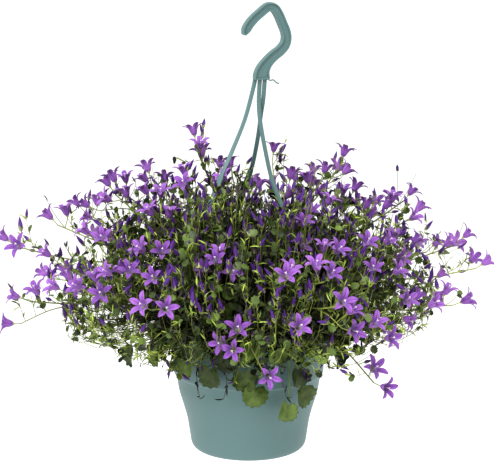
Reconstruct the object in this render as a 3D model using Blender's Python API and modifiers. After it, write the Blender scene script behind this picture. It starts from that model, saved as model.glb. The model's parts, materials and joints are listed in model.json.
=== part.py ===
"""Bellflower in a hanging pot: pot, soil, moulded hanger, leaf crown and flowering sprays.

Metres, +Z up. The origin is the centre of the pot's flat underside, and the front is -Y.
"""

import math
import random

import bmesh
import bpy
import numpy as np
from mathutils import Matrix, Vector
from mathutils.bvhtree import BVHTree

MM = 0.001
SEED = 41
GAP = 0.3 * MM
UP = Vector((0, 0, 1))
GOLDEN_ANGLE = math.pi * (3 - math.sqrt(5))

# Pot: half section of its outside as (radius, height) in mm, from the rim down to the foot
POT_OUTSIDE = (
    (94.4, 148.0), (95.5, 146.4), (93.9, 98.0), (91.3, 95.8), (88.7, 88.0), (84.1, 73.0),
    (79.4, 56.0), (76.2, 39.0), (73.5, 18.0), (71.6, 7.5), (68.6, 2.2), (63.5, 0.0),
)
POT_INSIDE_HEIGHTS = (18.0, 39.0, 56.0, 88.0, 98.0, 146.4)
POT_WALL = 1.9 * MM
POT_FLOOR = 2.2 * MM
POT_STEPS = 32
DRAIN_RADIUS = 4.0 * MM
DRAIN_CIRCLE = 46.0 * MM
DRAIN_COUNT = 6

# Soil
SOIL_TOP = 124.0 * MM
SOIL_CLEARANCE = 0.9 * MM
SOIL_STEPS = 24

# Lugs inside the rim, one for each strap of the hanger
LUG_ANGLES = (205.0, -25.0, 95.0)
LUG_RADIUS = 87.5 * MM
LUG_TOP = 142.0 * MM
LUG_SIZE = (12.6 * MM, 16.0 * MM, 4.0 * MM)
SLOT_SIZE = (3.2 * MM, 7.8 * MM)

# Hanger: centre line of the hook in its own plane and half its width there, in mm
HOOK_LINE = (
    (-21.6, 517.5, 4.2), (-20.2, 523, 5.0), (-16.2, 529, 5.2), (-9.7, 536, 5.2), (-1.0, 543, 5.2),
    (8.6, 549.5, 5.3), (16.5, 547.5, 5.4), (22.0, 540, 5.4), (26.6, 530, 5.4), (31.0, 520, 5.5),
    (32.4, 512, 5.6), (30.6, 504, 5.8), (24.6, 497, 6.0), (15.5, 490.5, 6.2), (7.5, 483, 6.6),
    (2.0, 475, 8.0), (0.0, 468, 9.4), (0.0, 462.5, 9.8),
)
HOOK_AXIS_X = 15.5 * MM
HOOK_TURN = math.radians(22)
HOOK_THICKNESS = 8.0 * MM
FLANGE = 1.7 * MM
POCKET_DEPTH = 2.2 * MM
STRAP_WIDTH = 4.8 * MM
STRAP_WIDE = 6.6 * MM
STRAP_THICKNESS = 2.2 * MM
STRAP_STEP_HEIGHT = 345.0 * MM
BARB_WIDTH = 10.0 * MM
BARB_LENGTH = 8.0 * MM
STRAPS = (
    ((9, 0, 468), (5, -1, 449), (-5, -6, 413), (-21, -13, 374), (-30, -18, 354), (-40, -23, 329),
     (-51, -28, 302), (-62, -32, 258), (-72, -35, 212), (-78, -36.6, 175)),
    ((14, 0, 468), (12.5, -1, 440), (13, -4, 423), (15, -7, 406), (20, -12, 379), (27, -17, 347),
     (34, -20, 327), (43, -24, 304), (53, -28, 272), (66, -33, 230), (75, -35.6, 190)),
    ((20, 1, 468), (18, 4, 439), (15, 10, 418), (13, 15, 400), (10, 21, 380), (5, 30, 354),
     (-2, 40, 332), (-9, 50, 312), (-13, 62, 278), (-11, 77, 225), (-8, 85.6, 180)),
)
TAIL_LINE = ((21, -1, 463.5), (26, -2, 461.5), (30, -3, 462), (34, -3, 458.5), (37, -3, 458))
TAIL_RADIUS = 0.8 * MM

# Leaf crown: a small core that the stems stand in, and leaves that stand out of it
CORE_CENTRE = Vector((0, 0, 158 * MM))
CORE_RADIUS = 70.0 * MM
CORE_HEIGHT = 74.0 * MM
SOCKET_DEPTH = 18.0 * MM
ROOT_DEPTH = 9.0 * MM
CROWN_LEAVES = 40
LEAF_LENGTH = (24 * MM, 32 * MM)
BLADE_THICKNESS = 1.5 * MM
# Half of the blade's rim from its tip to its stalk: reach from the middle, and height, as shares of its length
BLADE_OUTLINE = (0.56, 0.47, 0.50, 0.45, 0.52, 0.28)
RIM_SAG = (0.0, -0.04, 0.0, -0.04, 0.0, 0.05)
PETIOLE_RADIUS = 0.9 * MM
# Middles of the leaves that hang over the front of the rim, in mm
RIM_LEAVES = (
    (7, -106, 99), (45, -98, 76), (64, -86, 91), (-44, -99, 120), (58, -93, 118), (-73, -79, 125),
    (-4, -112, 119), (-24, -112, 141), (-142, -49, 131), (-110, -65, 134), (33, -109, 149),
    (89, -74, 142), (-62, -96, 154), (5, -118, 160), (-89, -78, 163),
)
RIM_LEAF_LENGTH = (24 * MM, 30 * MM)
RIM_LEAF_HEIGHTS = (112 * MM, 140 * MM)
BACK_RIM_LEAVES = 9
LEAVES_APART = 17 * MM

# Sprays of the front half: the heads of each, as (x, y, z, blooms) in mm
FRONT_SPRAYS = (
    ((-285, -20, 260, 2),), ((-240, 40, 275, 2),), ((-165, 75, 315, 2), (-190, 60, 290, 2)),
    ((-185, -40, 270, 3),), ((-215, -100, 220, 3), (-225, -70, 248, 1)), ((-185, -125, 225, 3),),
    ((-265, -40, 195, 2), (-280, -30, 165, 1)), ((-150, -135, 245, 3),),
    ((-115, -110, 265, 2), (-100, -165, 250, 1)), ((-110, -185, 220, 2),), ((-110, -50, 295, 2),),
    ((-120, 20, 310, 2),), ((-65, 60, 370, 3),), ((-75, 5, 335, 2),), ((-20, 40, 335, 2),),
    ((-35, -150, 260, 4),), ((-15, -190, 180, 3), (15, -200, 155, 1)),
    ((50, 50, 320, 3), (30, 62, 352, 1)), ((90, 80, 320, 3),), ((130, 90, 300, 3),),
    ((160, 50, 285, 2),), ((205, 60, 280, 2),), ((190, -20, 255, 3),), ((280, -10, 230, 2),),
    ((245, -60, 195, 2), (225, -20, 215, 2)), ((200, -105, 200, 4),), ((160, -100, 235, 2),),
    ((95, -120, 265, 2),), ((60, -80, 285, 3),), ((40, -190, 250, 2),), ((85, -175, 250, 2),),
    ((100, -200, 228, 1), (105, -188, 200, 2)), ((50, -205, 200, 1),), ((150, -155, 180, 2),),
    ((150, -50, 260, 2),), ((145, -150, 125, 2),), ((90, -10, 295, 2),),
)
# Sprays of the back half, spread by a rule
BACK_SPRAYS = 17
BACK_BLOOMS = 3
BACK_REACH = (255 * MM, 300 * MM, 200 * MM)

STEM_RADIUS = (1.6 * MM, 1.0 * MM)
STEM_SIDES = 3
BELL_LENGTH = 11.5 * MM
BELL_RADIUS = 14.2 * MM
BUD_LENGTH = 16 * MM
BUD_RADIUS = 2.1 * MM
BUD_PLACE = 30 * MM
SMALL_LEAF_LENGTH = (17 * MM, 22 * MM)
BLOOM_SPACING = 10 * MM
MOUTHS_APART = 17 * MM
PLACE_TRIES = 36
RIM_TRIES = 150

# The pot's wall and lugs as balls, which the plant is placed clear of
WALL_BALL = 2.6 * MM
WALL_BALLS_ROUND = 120
BAND_RADIUS = 94 * MM
BAND_HEIGHTS = (112 * MM, 119 * MM, 133 * MM, 140 * MM)
STRAP_BALL = 3.9 * MM
LUG_BALL = 5 * MM

GREEN = ("stem_green", (0.30, 0.40, 0.14), 0.55)
LEAF_GREEN = ("leaf_green", (0.10, 0.20, 0.05), 0.50)
VIOLET = ("bell_violet", (0.35, 0.10, 0.72), 0.60)
DARK_VIOLET = ("bud_violet", (0.16, 0.08, 0.30), 0.60)
PLASTIC = ("moulded_plastic", (0.16, 0.28, 0.28), 0.45)
SOIL_BROWN = ("potting_soil", (0.05, 0.03, 0.02), 0.95)


def point(values):
    """A place given in millimetres, in metres."""
    return Vector(values[:3]) * MM


def frame_on(axis, roll=0.0):
    """A rotation whose Z is the axis, turned round it by roll."""
    return axis.to_track_quat("Z", "Y").to_matrix() @ Matrix.Rotation(roll, 3, "Z")


# Where the plant's pieces go


class Room:
    """What is placed so far, as small balls that each have an owner.

    The next piece is set clear of the balls of every other owner.
    """

    def __init__(self):
        self.centres = np.empty((0, 3))
        self.radii = np.empty(0)
        self.owners = np.empty(0, int)

    def clear(self, balls, owner, margin=0.7 * MM):
        others = self.owners != owner
        centres = np.array([tuple(centre) for centre, _ in balls])
        radii = np.array([radius for _, radius in balls])
        apart = np.linalg.norm(centres[:, None] - self.centres[others][None], axis=2)
        return bool((apart > radii[:, None] + self.radii[others][None] + margin).all())

    def add(self, balls, owner):
        self.centres = np.vstack([self.centres, [tuple(centre) for centre, _ in balls]])
        self.radii = np.append(self.radii, [radius for _, radius in balls])
        self.owners = np.append(self.owners, [owner] * len(balls))


def balls_along(line, radius, spacing=3 * MM):
    """Balls every few millimetres along a line of points."""
    balls = []
    for start, end in zip(line, line[1:]):
        count = max(1, math.ceil((end - start).length / spacing))
        balls += [(start.lerp(end, step / count), radius) for step in range(count)]
    return balls + [(line[-1], radius)]


def bloom_balls(bloom):
    """The pedicel, the tube and the five lobes of a bell."""
    root, base, axis, size, roll = bloom
    turn = frame_on(axis, roll)
    balls = balls_along((root, base), 1.2 * MM)
    balls += [(base + axis * (share * BELL_LENGTH * size), radius * MM)
              for share, radius in ((0.3, 3.4), (0.65, 5.2))]
    for lobe in range(5):
        angle = lobe * math.tau / 5
        out = turn @ Vector((math.cos(angle), math.sin(angle), 0))
        for share, radius, height in ((0.4, 4.2, 0.7), (0.7, 3.2, 0.85), (0.95, 1.4, 0.95)):
            centre = base + (out * BELL_RADIUS * share + axis * BELL_LENGTH * height) * size
            balls.append((centre, radius * size * MM))
    return balls


def blade_balls(blade):
    """Balls over a leaf's blade."""
    base, along, normal, length = blade
    side = normal.cross(along)
    middle = base + along * 0.45 * length
    balls = [(middle, 0.17 * length)]
    for spot in range(8):
        angle = spot * math.tau / 8
        out = along * math.cos(angle) + side * math.sin(angle)
        balls.append((middle + out * 0.34 * length, 0.17 * length))
    return balls


def smooth_line(start, start_pull, end_pull, end, count):
    """Points on a Bezier curve, after its start."""
    line = []
    for step in range(1, count + 1):
        t = step / count
        line.append(start * (1 - t) ** 3 + start_pull * 3 * t * (1 - t) ** 2
                    + end_pull * 3 * t * t * (1 - t) + end * t ** 3)
    return line


def core_point(direction):
    """Where a ray from the core's middle leaves the core."""
    flat = math.hypot(direction.x, direction.y) / CORE_RADIUS
    return CORE_CENTRE + direction / math.hypot(flat, direction.z / CORE_HEIGHT)


def socket_directions(heads):
    """One direction out of the core for each spray, near its head's.

    They are pushed apart so that the holes stay clear of each other.
    """
    directions = []
    for head in heads:
        aim = head - CORE_CENTRE
        rise = math.atan2(aim.z, math.hypot(aim.x, aim.y))
        turn = math.atan2(aim.y, aim.x)
        rise = math.radians(16) + max(0.0, rise + math.radians(12)) * 0.80
        flat = math.cos(rise)
        directions.append([flat * math.cos(turn), flat * math.sin(turn), math.sin(rise)])
    directions = np.array(directions)
    for _ in range(160):
        apart = directions[:, None] - directions[None]
        distance = np.linalg.norm(apart, axis=2) + np.eye(len(heads))
        push = np.clip(0.27 - distance, 0, None) * (1 - np.eye(len(heads)))
        directions += 0.3 * (apart / distance[..., None] * push[..., None]).sum(axis=1)
        directions[:, 2] = np.clip(directions[:, 2], 0.24, None)
        directions /= np.linalg.norm(directions, axis=1)[:, None]
    return [Vector(direction) for direction in directions]


def back_heads(rng):
    """Heads over the back half of the mound."""
    heads = []
    for index in range(BACK_SPRAYS):
        share = (index + 0.5) / BACK_SPRAYS
        turn = math.radians(12) + math.radians(156) * ((index * 0.618034 + 0.31) % 1.0)
        rise = math.radians(4 + 56 * share ** 1.15)
        reach = rng.uniform(0.90, 1.04)
        out = Vector((math.cos(turn) * math.cos(rise) * BACK_REACH[1],
                      math.sin(turn) * math.cos(rise) * BACK_REACH[0],
                      math.sin(rise) * BACK_REACH[2]))
        place = CORE_CENTRE + out * reach
        heads.append((place.x / MM, place.y / MM, place.z / MM + 12, BACK_BLOOMS))
    return heads


def stem_line(socket, head, room, owner, rng):
    """A stem from the bottom of its hole, straight out of the core and in one bend to its head."""
    surface = core_point(socket)
    root = surface - socket * (SOCKET_DEPTH - GAP)
    leave = surface + socket * 5 * MM
    span = (head - leave).length
    finish = ((head - leave) / span + UP * (0.30 if head.z > leave.z else -0.25)).normalized()
    for attempt in range(PLACE_TRIES):
        swing = 0.010 * attempt / 4
        stray = Vector([rng.uniform(-swing, swing) for _ in range(3)])
        pulls = leave + socket * 0.36 * span + stray, head - finish * 0.30 * span - stray * 0.6
        line = [root, leave] + smooth_line(leave, pulls[0], pulls[1], head, 3)
        if room.clear(balls_along(line, 1.9 * MM), owner):
            return line
    return None


def branch_line(line, head, room, owner, rng):
    """A side branch from the middle of a stem to its own head."""
    start = line[3]
    span = (head - start).length
    for attempt in range(PLACE_TRIES):
        swing = 0.008 * attempt / 4
        stray = Vector([rng.uniform(-swing, swing) for _ in range(3)])
        middle = start.lerp(head, 0.5) + UP * 0.06 * span + stray
        branch = [start, middle, head]
        if room.clear(balls_along(branch, 1.5 * MM), owner):
            return branch
    return None


def place_on(line, back):
    """The point that lies back from the line's end, and the line's direction there."""
    for end, start in zip(reversed(line), reversed(line[:-1])):
        length = (end - start).length
        if back <= length:
            return end.lerp(start, back / length), (end - start).normalized()
        back -= length
    return line[0], (line[1] - line[0]).normalized()


def outward(place):
    return (place - Vector((0, 0, 175 * MM))).normalized()


def best_bloom(line, back, mouths, room, owner, rng):
    """The bell that stands best apart from the others, of those that are clear of what is placed."""
    root, along = place_on(line, back)
    best = None
    for _ in range(PLACE_TRIES):
        turn = frame_on(along, rng.uniform(0, math.tau))
        lean = rng.uniform(0.1, 0.5) if back == 0 else rng.uniform(0.7, 1.5)
        lead = (turn @ Vector((math.sin(lean), 0, math.cos(lean)))).normalized()
        base = root + lead * rng.uniform(9, 17) * MM
        axis = (lead * 0.8 + outward(base) * 0.55 + UP * 0.22).normalized()
        size = rng.uniform(0.90, 1.05)
        bloom = (root, base, axis, size, rng.uniform(0, math.tau))
        mouth = base + axis * BELL_LENGTH
        if lead.dot(axis) < 0.45:
            continue
        nearest = min([(mouth - other).length for other in mouths] + [40 * MM])
        score = min(nearest, 30 * MM) / MM + 7 * lead.dot(outward(root)) + 4 * lead.z
        if nearest <= MOUTHS_APART or (best and score <= best[0]):
            continue
        if room.clear(bloom_balls(bloom), owner):
            best = (score, bloom, mouth)
    return best


def best_bud(line, back, room, owner, rng):
    """A bud that stands up from the stem, clear of all that is placed or at least of the other sprays."""
    root, along = place_on(line, back)
    for _ in range(PLACE_TRIES):
        turn = frame_on(along, rng.uniform(0, math.tau))
        lean = rng.uniform(0.5, 1.1)
        lead = (turn @ Vector((math.sin(lean), 0, math.cos(lean))) + UP * 0.35).normalized()
        tip = root + lead * (BUD_LENGTH + rng.uniform(2, 7) * MM)
        balls = balls_along((root + lead * 5 * MM, tip), 2.4 * MM)
        if room.clear(balls, None) or room.clear(balls_along((root, tip), 2.4 * MM), owner):
            return (root, tip), balls
    return None


def best_leaf(line, back, room, owner, rng):
    """A small leaf on a stem."""
    root, along = place_on(line, back)
    for _ in range(PLACE_TRIES):
        turn = frame_on(along, rng.uniform(0, math.tau))
        out = (turn @ Vector((1.0, 0, 0.5))).normalized()
        normal = (out.cross(along).cross(out) + UP * 0.4)
        normal = (normal - out * normal.dot(out)).normalized()
        blade = (root + out * 1.5 * MM, out, normal, rng.uniform(*SMALL_LEAF_LENGTH))
        if room.clear(blade_balls(blade), owner):
            return [root, blade[0]], blade
    return None


def plan_sprays(room):
    """The lines, bells, buds and leaves of every spray, front and back."""
    rng = random.Random(SEED)
    plans = [list(heads) for heads in FRONT_SPRAYS] + [[head] for head in back_heads(rng)]
    sockets = socket_directions([point(heads[0]) for heads in plans])
    sprays = []
    for owner, (heads, socket) in enumerate(zip(plans, sockets)):
        line = stem_line(socket, point(heads[0]), room, owner, rng)
        if line is None:
            raise RuntimeError(f"no clear way for the stem of spray {owner + 1}")
        lines = [line]
        room.add(balls_along(line, 1.6 * MM), owner)
        for head in heads[1:]:
            branch = branch_line(line, point(head), room, owner, rng)
            if branch:
                lines.append(branch)
                room.add(balls_along(branch, 1.3 * MM), owner)
        sprays.append({"socket": socket, "lines": lines, "endings": [None] * len(lines),
                       "blooms": [], "buds": [], "leaves": []})
    mouths = []
    for place in range(max(head[3] for heads in plans for head in heads)):
        for owner, (heads, spray) in enumerate(zip(plans, sprays)):
            for index, (head, line) in enumerate(zip(heads, spray["lines"])):
                if place >= head[3]:
                    continue
                found = best_bloom(line, place * BLOOM_SPACING, mouths, room, owner, rng)
                if not found:
                    continue
                if place == 0:
                    spray["endings"][index] = found[1]
                else:
                    spray["blooms"].append(found[1])
                mouths.append(found[2])
                room.add(bloom_balls(found[1]), owner)
    for owner, spray in enumerate(sprays):
        line = spray["lines"][0]
        found = best_bud(line, BUD_PLACE, room, owner, rng)
        if found:
            spray["buds"].append(found[0])
            room.add(found[1], owner)
        if owner % 2:
            continue
        reach = sum((end - start).length for start, end in zip(line[1:], line[2:]))
        found = best_leaf(line, reach * rng.uniform(0.45, 0.62), room, owner, rng)
        if found:
            spray["leaves"].append(found)
            room.add(blade_balls(found[1]), owner)
    return sprays


def plan_crown(room, owner):
    """Stalk line and blade of every leaf that stands out of the core, those over the rim first."""
    rng = random.Random(SEED + 1)
    leaves = []
    hanging = [point(place) for place in RIM_LEAVES]
    for index in range(BACK_RIM_LEAVES):
        turn = math.radians(8 + 164 * index / (BACK_RIM_LEAVES - 1))
        radius = 104 * MM + rng.uniform(0, 14) * MM
        height = rng.uniform(*RIM_LEAF_HEIGHTS)
        hanging.append(Vector((radius * math.cos(turn), radius * math.sin(turn), height)))
    for middle in hanging:
        flat = Vector((middle.x, middle.y, 0)).normalized()
        for attempt in range(PLACE_TRIES):
            length = rng.uniform(*RIM_LEAF_LENGTH)
            sway = rng.uniform(-0.45, 0.45)
            side = UP.cross(flat)
            along = (-UP + side * sway + flat * rng.uniform(0.05, 0.30)).normalized()
            normal = (flat - along * flat.dot(along)).normalized()
            base = middle - along * 0.45 * length
            base += (flat * rng.uniform(0, 9) + side * rng.uniform(-3, 3)) * MM * attempt / RIM_TRIES
            over = flat * rng.uniform(98, 103) * MM + UP * max(158 * MM, base.z + 4 * MM)
            over += side * rng.uniform(-9, 9) * MM
            root_direction = Vector((over.x, over.y, 26 * MM)).normalized()
            root = core_point(root_direction) - root_direction * ROOT_DEPTH
            stalk = [root, over, base + along * 0.35 * length]
            blade = (base, along, normal, length)
            if room.clear(balls_along(stalk[:2] + [base], 1.3 * MM) + blade_balls(blade), owner):
                leaves.append((stalk, blade))
                room.add(balls_along(stalk, 1.1 * MM) + blade_balls(blade), owner)
                break
    middles = [stalk[-1] for stalk, _ in leaves]
    for index in range(CROWN_LEAVES):
        share = (index + 0.5) / CROWN_LEAVES
        for attempt in range(RIM_TRIES):
            turn = index * GOLDEN_ANGLE + rng.uniform(-0.25, 0.25)
            rise = math.asin(min(0.97, 0.10 + 0.85 * share)) + rng.uniform(-0.1, 0.1)
            out = Vector((math.cos(turn), math.sin(turn), 0)) * math.cos(rise) + UP * math.sin(rise)
            length = rng.uniform(*LEAF_LENGTH)
            reach = rng.uniform(0.112, 0.170) * (1.0 - 0.22 * math.sin(rise))
            middle = CORE_CENTRE + out * reach
            stray = Vector([rng.uniform(-0.5, 0.5) for _ in range(3)])
            along = (out * 0.75 - UP * 0.25 + stray).normalized()
            normal = (UP * 0.7 + out * 0.8)
            normal = (normal - along * normal.dot(along)).normalized()
            base = middle - along * 0.45 * length
            root_direction = (out + Vector([rng.uniform(-0.2, 0.2) for _ in range(3)])).normalized()
            root_direction = (root_direction + UP * 0.12).normalized()
            root = core_point(root_direction) - root_direction * ROOT_DEPTH
            stalk = [root, root.lerp(base, 0.55) + UP * 5 * MM, base + along * 0.35 * length]
            blade = (base, along, normal, length)
            if min((middle - other).length for other in middles) < LEAVES_APART:
                continue
            if room.clear(balls_along(stalk, 1.3 * MM) + blade_balls(blade), owner):
                leaves.append((stalk, blade))
                middles.append(middle)
                room.add(balls_along(stalk, 1.1 * MM) + blade_balls(blade), owner)
                break
    return leaves


def furniture_room():
    """The pot's wall and the hanger's straps, as balls."""
    room = Room()
    circles = [(radius * MM, height * MM) for radius, height in POT_OUTSIDE[:7]]
    circles += [(BAND_RADIUS, height) for height in BAND_HEIGHTS]
    for radius, height in circles:
        for step in range(WALL_BALLS_ROUND):
            angle = step * math.tau / WALL_BALLS_ROUND
            place = Vector((radius * math.cos(angle), radius * math.sin(angle), height))
            room.add([(place, WALL_BALL)], -1)
    for strap, angle in zip(STRAPS, LUG_ANGLES):
        room.add(balls_along(strap_line(strap, angle), STRAP_BALL), -2)
    for angle in LUG_ANGLES:
        for share in (-1, -0.5, 0, 0.5, 1):
            turn = math.radians(angle)
            place = Vector((math.cos(turn), math.sin(turn), 0)) * LUG_RADIUS
            place += Vector((-math.sin(turn), math.cos(turn), 0)) * share * LUG_SIZE[1] / 2
            room.add([(place + UP * (LUG_TOP - 2 * MM), LUG_BALL)], -1)
    return room


# Meshes


def mesh_object(name, mesh, collection, material_specs=()):
    obj = bpy.data.objects.new(name, mesh)
    collection.objects.link(obj)
    for spec in material_specs:
        mesh.materials.append(material(*spec))
    return obj


def material(name, colour, roughness):
    found = bpy.data.materials.get(name)
    if found:
        return found
    made = bpy.data.materials.new(name)
    made.use_nodes = True
    shader = made.node_tree.nodes["Principled BSDF"]
    shader.inputs["Base Color"].default_value = (*colour, 1)
    shader.inputs["Roughness"].default_value = roughness
    shader.inputs["Metallic"].default_value = 0.0
    made.diffuse_color = (*colour, 1)
    return made


def new_collection(name):
    collection = bpy.data.collections.new(name)
    bpy.context.scene.collection.children.link(collection)
    return collection


def as_mesh(bm, name, material_index=0):
    """A mesh from a bmesh, whose faces all point out."""
    bmesh.ops.recalc_face_normals(bm, faces=bm.faces)
    if bm.calc_volume(signed=True) < 0:
        bmesh.ops.reverse_faces(bm, faces=bm.faces)
    for face in bm.faces:
        face.material_index = material_index
    mesh = bpy.data.meshes.new(name)
    bm.to_mesh(mesh)
    bm.free()
    return mesh


def tube_mesh(name, line, radius):
    """A closed tube along a line of points, from a curve with a bevel and filled caps."""
    curve = bpy.data.curves.new(name, "CURVE")
    curve.dimensions = "3D"
    curve.bevel_depth = radius
    curve.bevel_resolution = 0
    curve.use_fill_caps = True
    spline = curve.splines.new("POLY")
    spline.points.add(len(line) - 1)
    for spot, place in zip(spline.points, line):
        spot.co = (*place, 1)
    return mesh_of_curve(name, curve)


def mesh_of_curve(name, curve):
    """The curve's mesh with its caps welded on. The curve is removed."""
    obj = bpy.data.objects.new(name, curve)
    bpy.context.scene.collection.objects.link(obj)
    mesh = evaluated_mesh(obj)
    bpy.data.curves.remove(curve)
    bm = bmesh.new()
    bm.from_mesh(mesh)
    bmesh.ops.remove_doubles(bm, verts=bm.verts, dist=0.01 * MM)
    bpy.data.meshes.remove(mesh)
    return as_mesh(bm, name)


def evaluated_mesh(obj):
    bpy.context.view_layer.update()
    return bpy.data.meshes.new_from_object(obj.evaluated_get(bpy.context.evaluated_depsgraph_get()))


def combine(obj, meshes, operation, solver="MANIFOLD"):
    """Applies one Boolean of all the meshes to the object, and removes them."""
    helpers = new_collection("boolean_helpers")
    for mesh in meshes:
        helpers.objects.link(bpy.data.objects.new("helper", mesh))
    boolean = obj.modifiers.new("combine", "BOOLEAN")
    boolean.operation = operation
    boolean.operand_type = "COLLECTION"
    boolean.collection = helpers
    boolean.solver = solver
    old = obj.data
    obj.data = evaluated_mesh(obj)
    obj.modifiers.clear()
    bpy.data.meshes.remove(old)
    for helper in list(helpers.objects):
        bpy.data.meshes.remove(helper.data)
    bpy.data.collections.remove(helpers)


def ring_of(bm, middle, turn, radius, count, height=0.0, offset=0.0):
    """Corners round a place, in the plane across the turned Z."""
    corners = []
    for corner in range(count):
        angle = (corner + offset) * math.tau / count
        out = Vector((math.cos(angle) * radius, math.sin(angle) * radius, height))
        corners.append(bm.verts.new(middle + turn @ out))
    return corners


def join_rings(bm, low, high):
    """A wall between two rings of unlike counts, turned so that it isn't twisted."""
    steps = [round(corner * len(high) / len(low)) for corner in range(len(low) + 1)]

    def twist(offset):
        return sum((high[(offset + step) % len(high)].co - corner.co).length
                   for corner, step in zip(low, steps))

    near = min(range(len(high)), key=twist)
    for corner, first in enumerate(low):
        after = low[(corner + 1) % len(low)]
        start, end = steps[corner], steps[corner + 1]
        for step in range(start, end):
            corner_pair = high[(near + step) % len(high)], high[(near + step + 1) % len(high)]
            bm.faces.new((first, *corner_pair))
        bm.faces.new((first, high[(near + end) % len(high)], after))


def stem_rings(bm, line, radii):
    """The walls of a stem along its line and its root's cap. Returns the open ring at its end."""
    ring = None
    turn = None
    for index, (spot, radius) in enumerate(zip(line, radii)):
        ahead = line[min(index + 1, len(line) - 1)]
        behind = line[max(index - 1, 0)]
        along = (ahead - behind).normalized()
        turn = frame_on(along) if turn is None else carried_frame(turn, along)
        after = ring_of(bm, spot, turn, radius, STEM_SIDES)
        if ring is None:
            bm.faces.new(after)
        else:
            for side in range(STEM_SIDES):
                following = (side + 1) % STEM_SIDES
                bm.faces.new((ring[side], ring[following], after[following], after[side]))
        ring = after
    return ring


def carried_frame(turn, along):
    """The frame turned by the least angle that brings its Z on to the new direction."""
    return (turn.col[2].rotation_difference(along).to_matrix() @ turn).normalized()


def add_bell(bm, foot, base, axis, size, roll):
    """A star bell on an open ring: over its base to a ten-pointed mouth and down into the throat."""
    turn = frame_on(axis, roll)
    calyx = ring_of(bm, base, turn, 2.3 * MM * size, 5)
    notches = ring_of(bm, base, turn, 6.4 * MM * size, 5, 0.80 * BELL_LENGTH * size, -0.5)
    tips = ring_of(bm, base, turn, BELL_RADIUS * size, 5, BELL_LENGTH * size)
    throat = bm.verts.new(base + axis * 0.42 * BELL_LENGTH * size)
    join_rings(bm, foot, calyx)
    for lobe in range(5):
        after = (lobe + 1) % 5
        bm.faces.new((calyx[lobe], calyx[after], notches[after]))
        bm.faces.new((notches[lobe], calyx[lobe], tips[lobe]))
        bm.faces.new((calyx[lobe], notches[after], tips[lobe]))
        bm.faces.new((throat, notches[lobe], tips[lobe]))
        bm.faces.new((throat, tips[lobe], notches[after]))


def stem_mesh(line, radii, bloom):
    """A stem that ends in its own bell, or in a plain cap where it has none."""
    bm = bmesh.new()
    end = stem_rings(bm, line, radii)
    if bloom:
        add_bell(bm, end, *bloom[1:])
    else:
        bm.faces.new(end)
    return as_mesh(bm, "stem")


def walls_cross(bm):
    """Whether any two faces with no common corner pass through each other."""
    bm.faces.ensure_lookup_table()
    tree = BVHTree.FromBMesh(bm)
    return any(not set(bm.faces[first].verts) & set(bm.faces[second].verts)
               for first, second in tree.overlap(tree))


def bloom_mesh(bloom):
    """A bell on its own stalk, whose root is sunk in the stem and turned so far that no walls cross."""
    root, base = bloom[:2]
    for roll in range(0, 120, 10):
        bm = bmesh.new()
        foot = ring_of(bm, root, frame_on((base - root).normalized(), math.radians(roll)), 1.0 * MM, 3)
        bm.faces.new(foot)
        add_bell(bm, foot, *bloom[1:])
        if not walls_cross(bm):
            break
        bm.free()
    else:
        raise RuntimeError("a bell's walls cross at every turn of its root")
    return as_mesh(bm, "bloom", 2)


def bud_mesh(bud):
    """A slender closed bud on its stalk."""
    root, tip = bud
    lead = (tip - root).normalized()
    turn = frame_on(lead)
    bm = bmesh.new()
    rings = []
    for share, radius in ((0.0, 0.8 * MM), (0.62, BUD_RADIUS)):
        rings.append(ring_of(bm, root.lerp(tip, share), turn, radius, 3))
    end = bm.verts.new(tip)
    bm.faces.new(rings[0])
    for side in range(3):
        after = (side + 1) % 3
        bm.faces.new((rings[0][side], rings[0][after], rings[1][after], rings[1][side]))
        bm.faces.new((rings[1][side], rings[1][after], end))
    return as_mesh(bm, "bud", 3)


def leaf_mesh(stalk, blade):
    """A leaf in one piece: a heart-shaped toothed lens of a blade, lofted into a three-sided stalk."""
    base, along, normal, length = blade
    side = normal.cross(along)
    middle = base + along * 0.42 * length + normal * 0.05 * length
    bm = bmesh.new()
    top = bm.verts.new(middle + normal * BLADE_THICKNESS / 2)
    under = bm.verts.new(middle - normal * BLADE_THICKNESS / 2)
    rim = []
    for index in range(-5, 6):
        angle = index * math.tau / 10
        reach = BLADE_OUTLINE[abs(index)] * length
        spread = -math.copysign(PETIOLE_RADIUS, index) if abs(index) == 5 else 0.0
        sag = RIM_SAG[abs(index)] * length
        rim.append(bm.verts.new(base + along * (0.45 * length + reach * math.cos(angle))
                                + side * (reach * math.sin(angle) - spread) + normal * sag))
    for first, second in zip(rim, rim[1:]):
        bm.faces.new((top, first, second))
        bm.faces.new((under, second, first))
    bm.faces.new((top, rim[-1], rim[0]))
    ring = [rim[0], rim[-1], under]
    line = stalk[:-1] + [base]
    for index in range(len(line) - 2, -1, -1):
        spot = line[index]
        behind = line[max(index - 1, 0)]
        lead = ((line[index + 1] - spot).normalized() + (spot - behind).normalized()).normalized()
        across = (side - lead * side.dot(lead)).normalized()
        deep = lead.cross(across)
        radius = PETIOLE_RADIUS
        upper = spot + deep * radius / 2
        corners = [upper - across * radius, upper + across * radius, spot - deep * radius]
        after = [bm.verts.new(corner) for corner in corners]
        for corner in range(3):
            following = (corner + 1) % 3
            bm.faces.new((ring[corner], ring[following], after[following], after[corner]))
        ring = after
    bm.faces.new(ring)
    return as_mesh(bm, "leaf", 1)


# The made pieces


def turned(name, profile, steps, collection, spec):
    """A solid turned round Z from a half section that starts and ends on the axis."""
    mesh = bpy.data.meshes.new(name)
    mesh.from_pydata([(radius, 0, height) for radius, height in profile],
                     [(index, index + 1) for index in range(len(profile) - 1)], [])
    obj = mesh_object(name, mesh, collection, (spec,))
    screw = obj.modifiers.new("turn", "SCREW")
    screw.steps = steps
    screw.render_steps = steps
    screw.use_merge_vertices = True
    screw.merge_threshold = 0.01 * MM
    return obj


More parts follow.
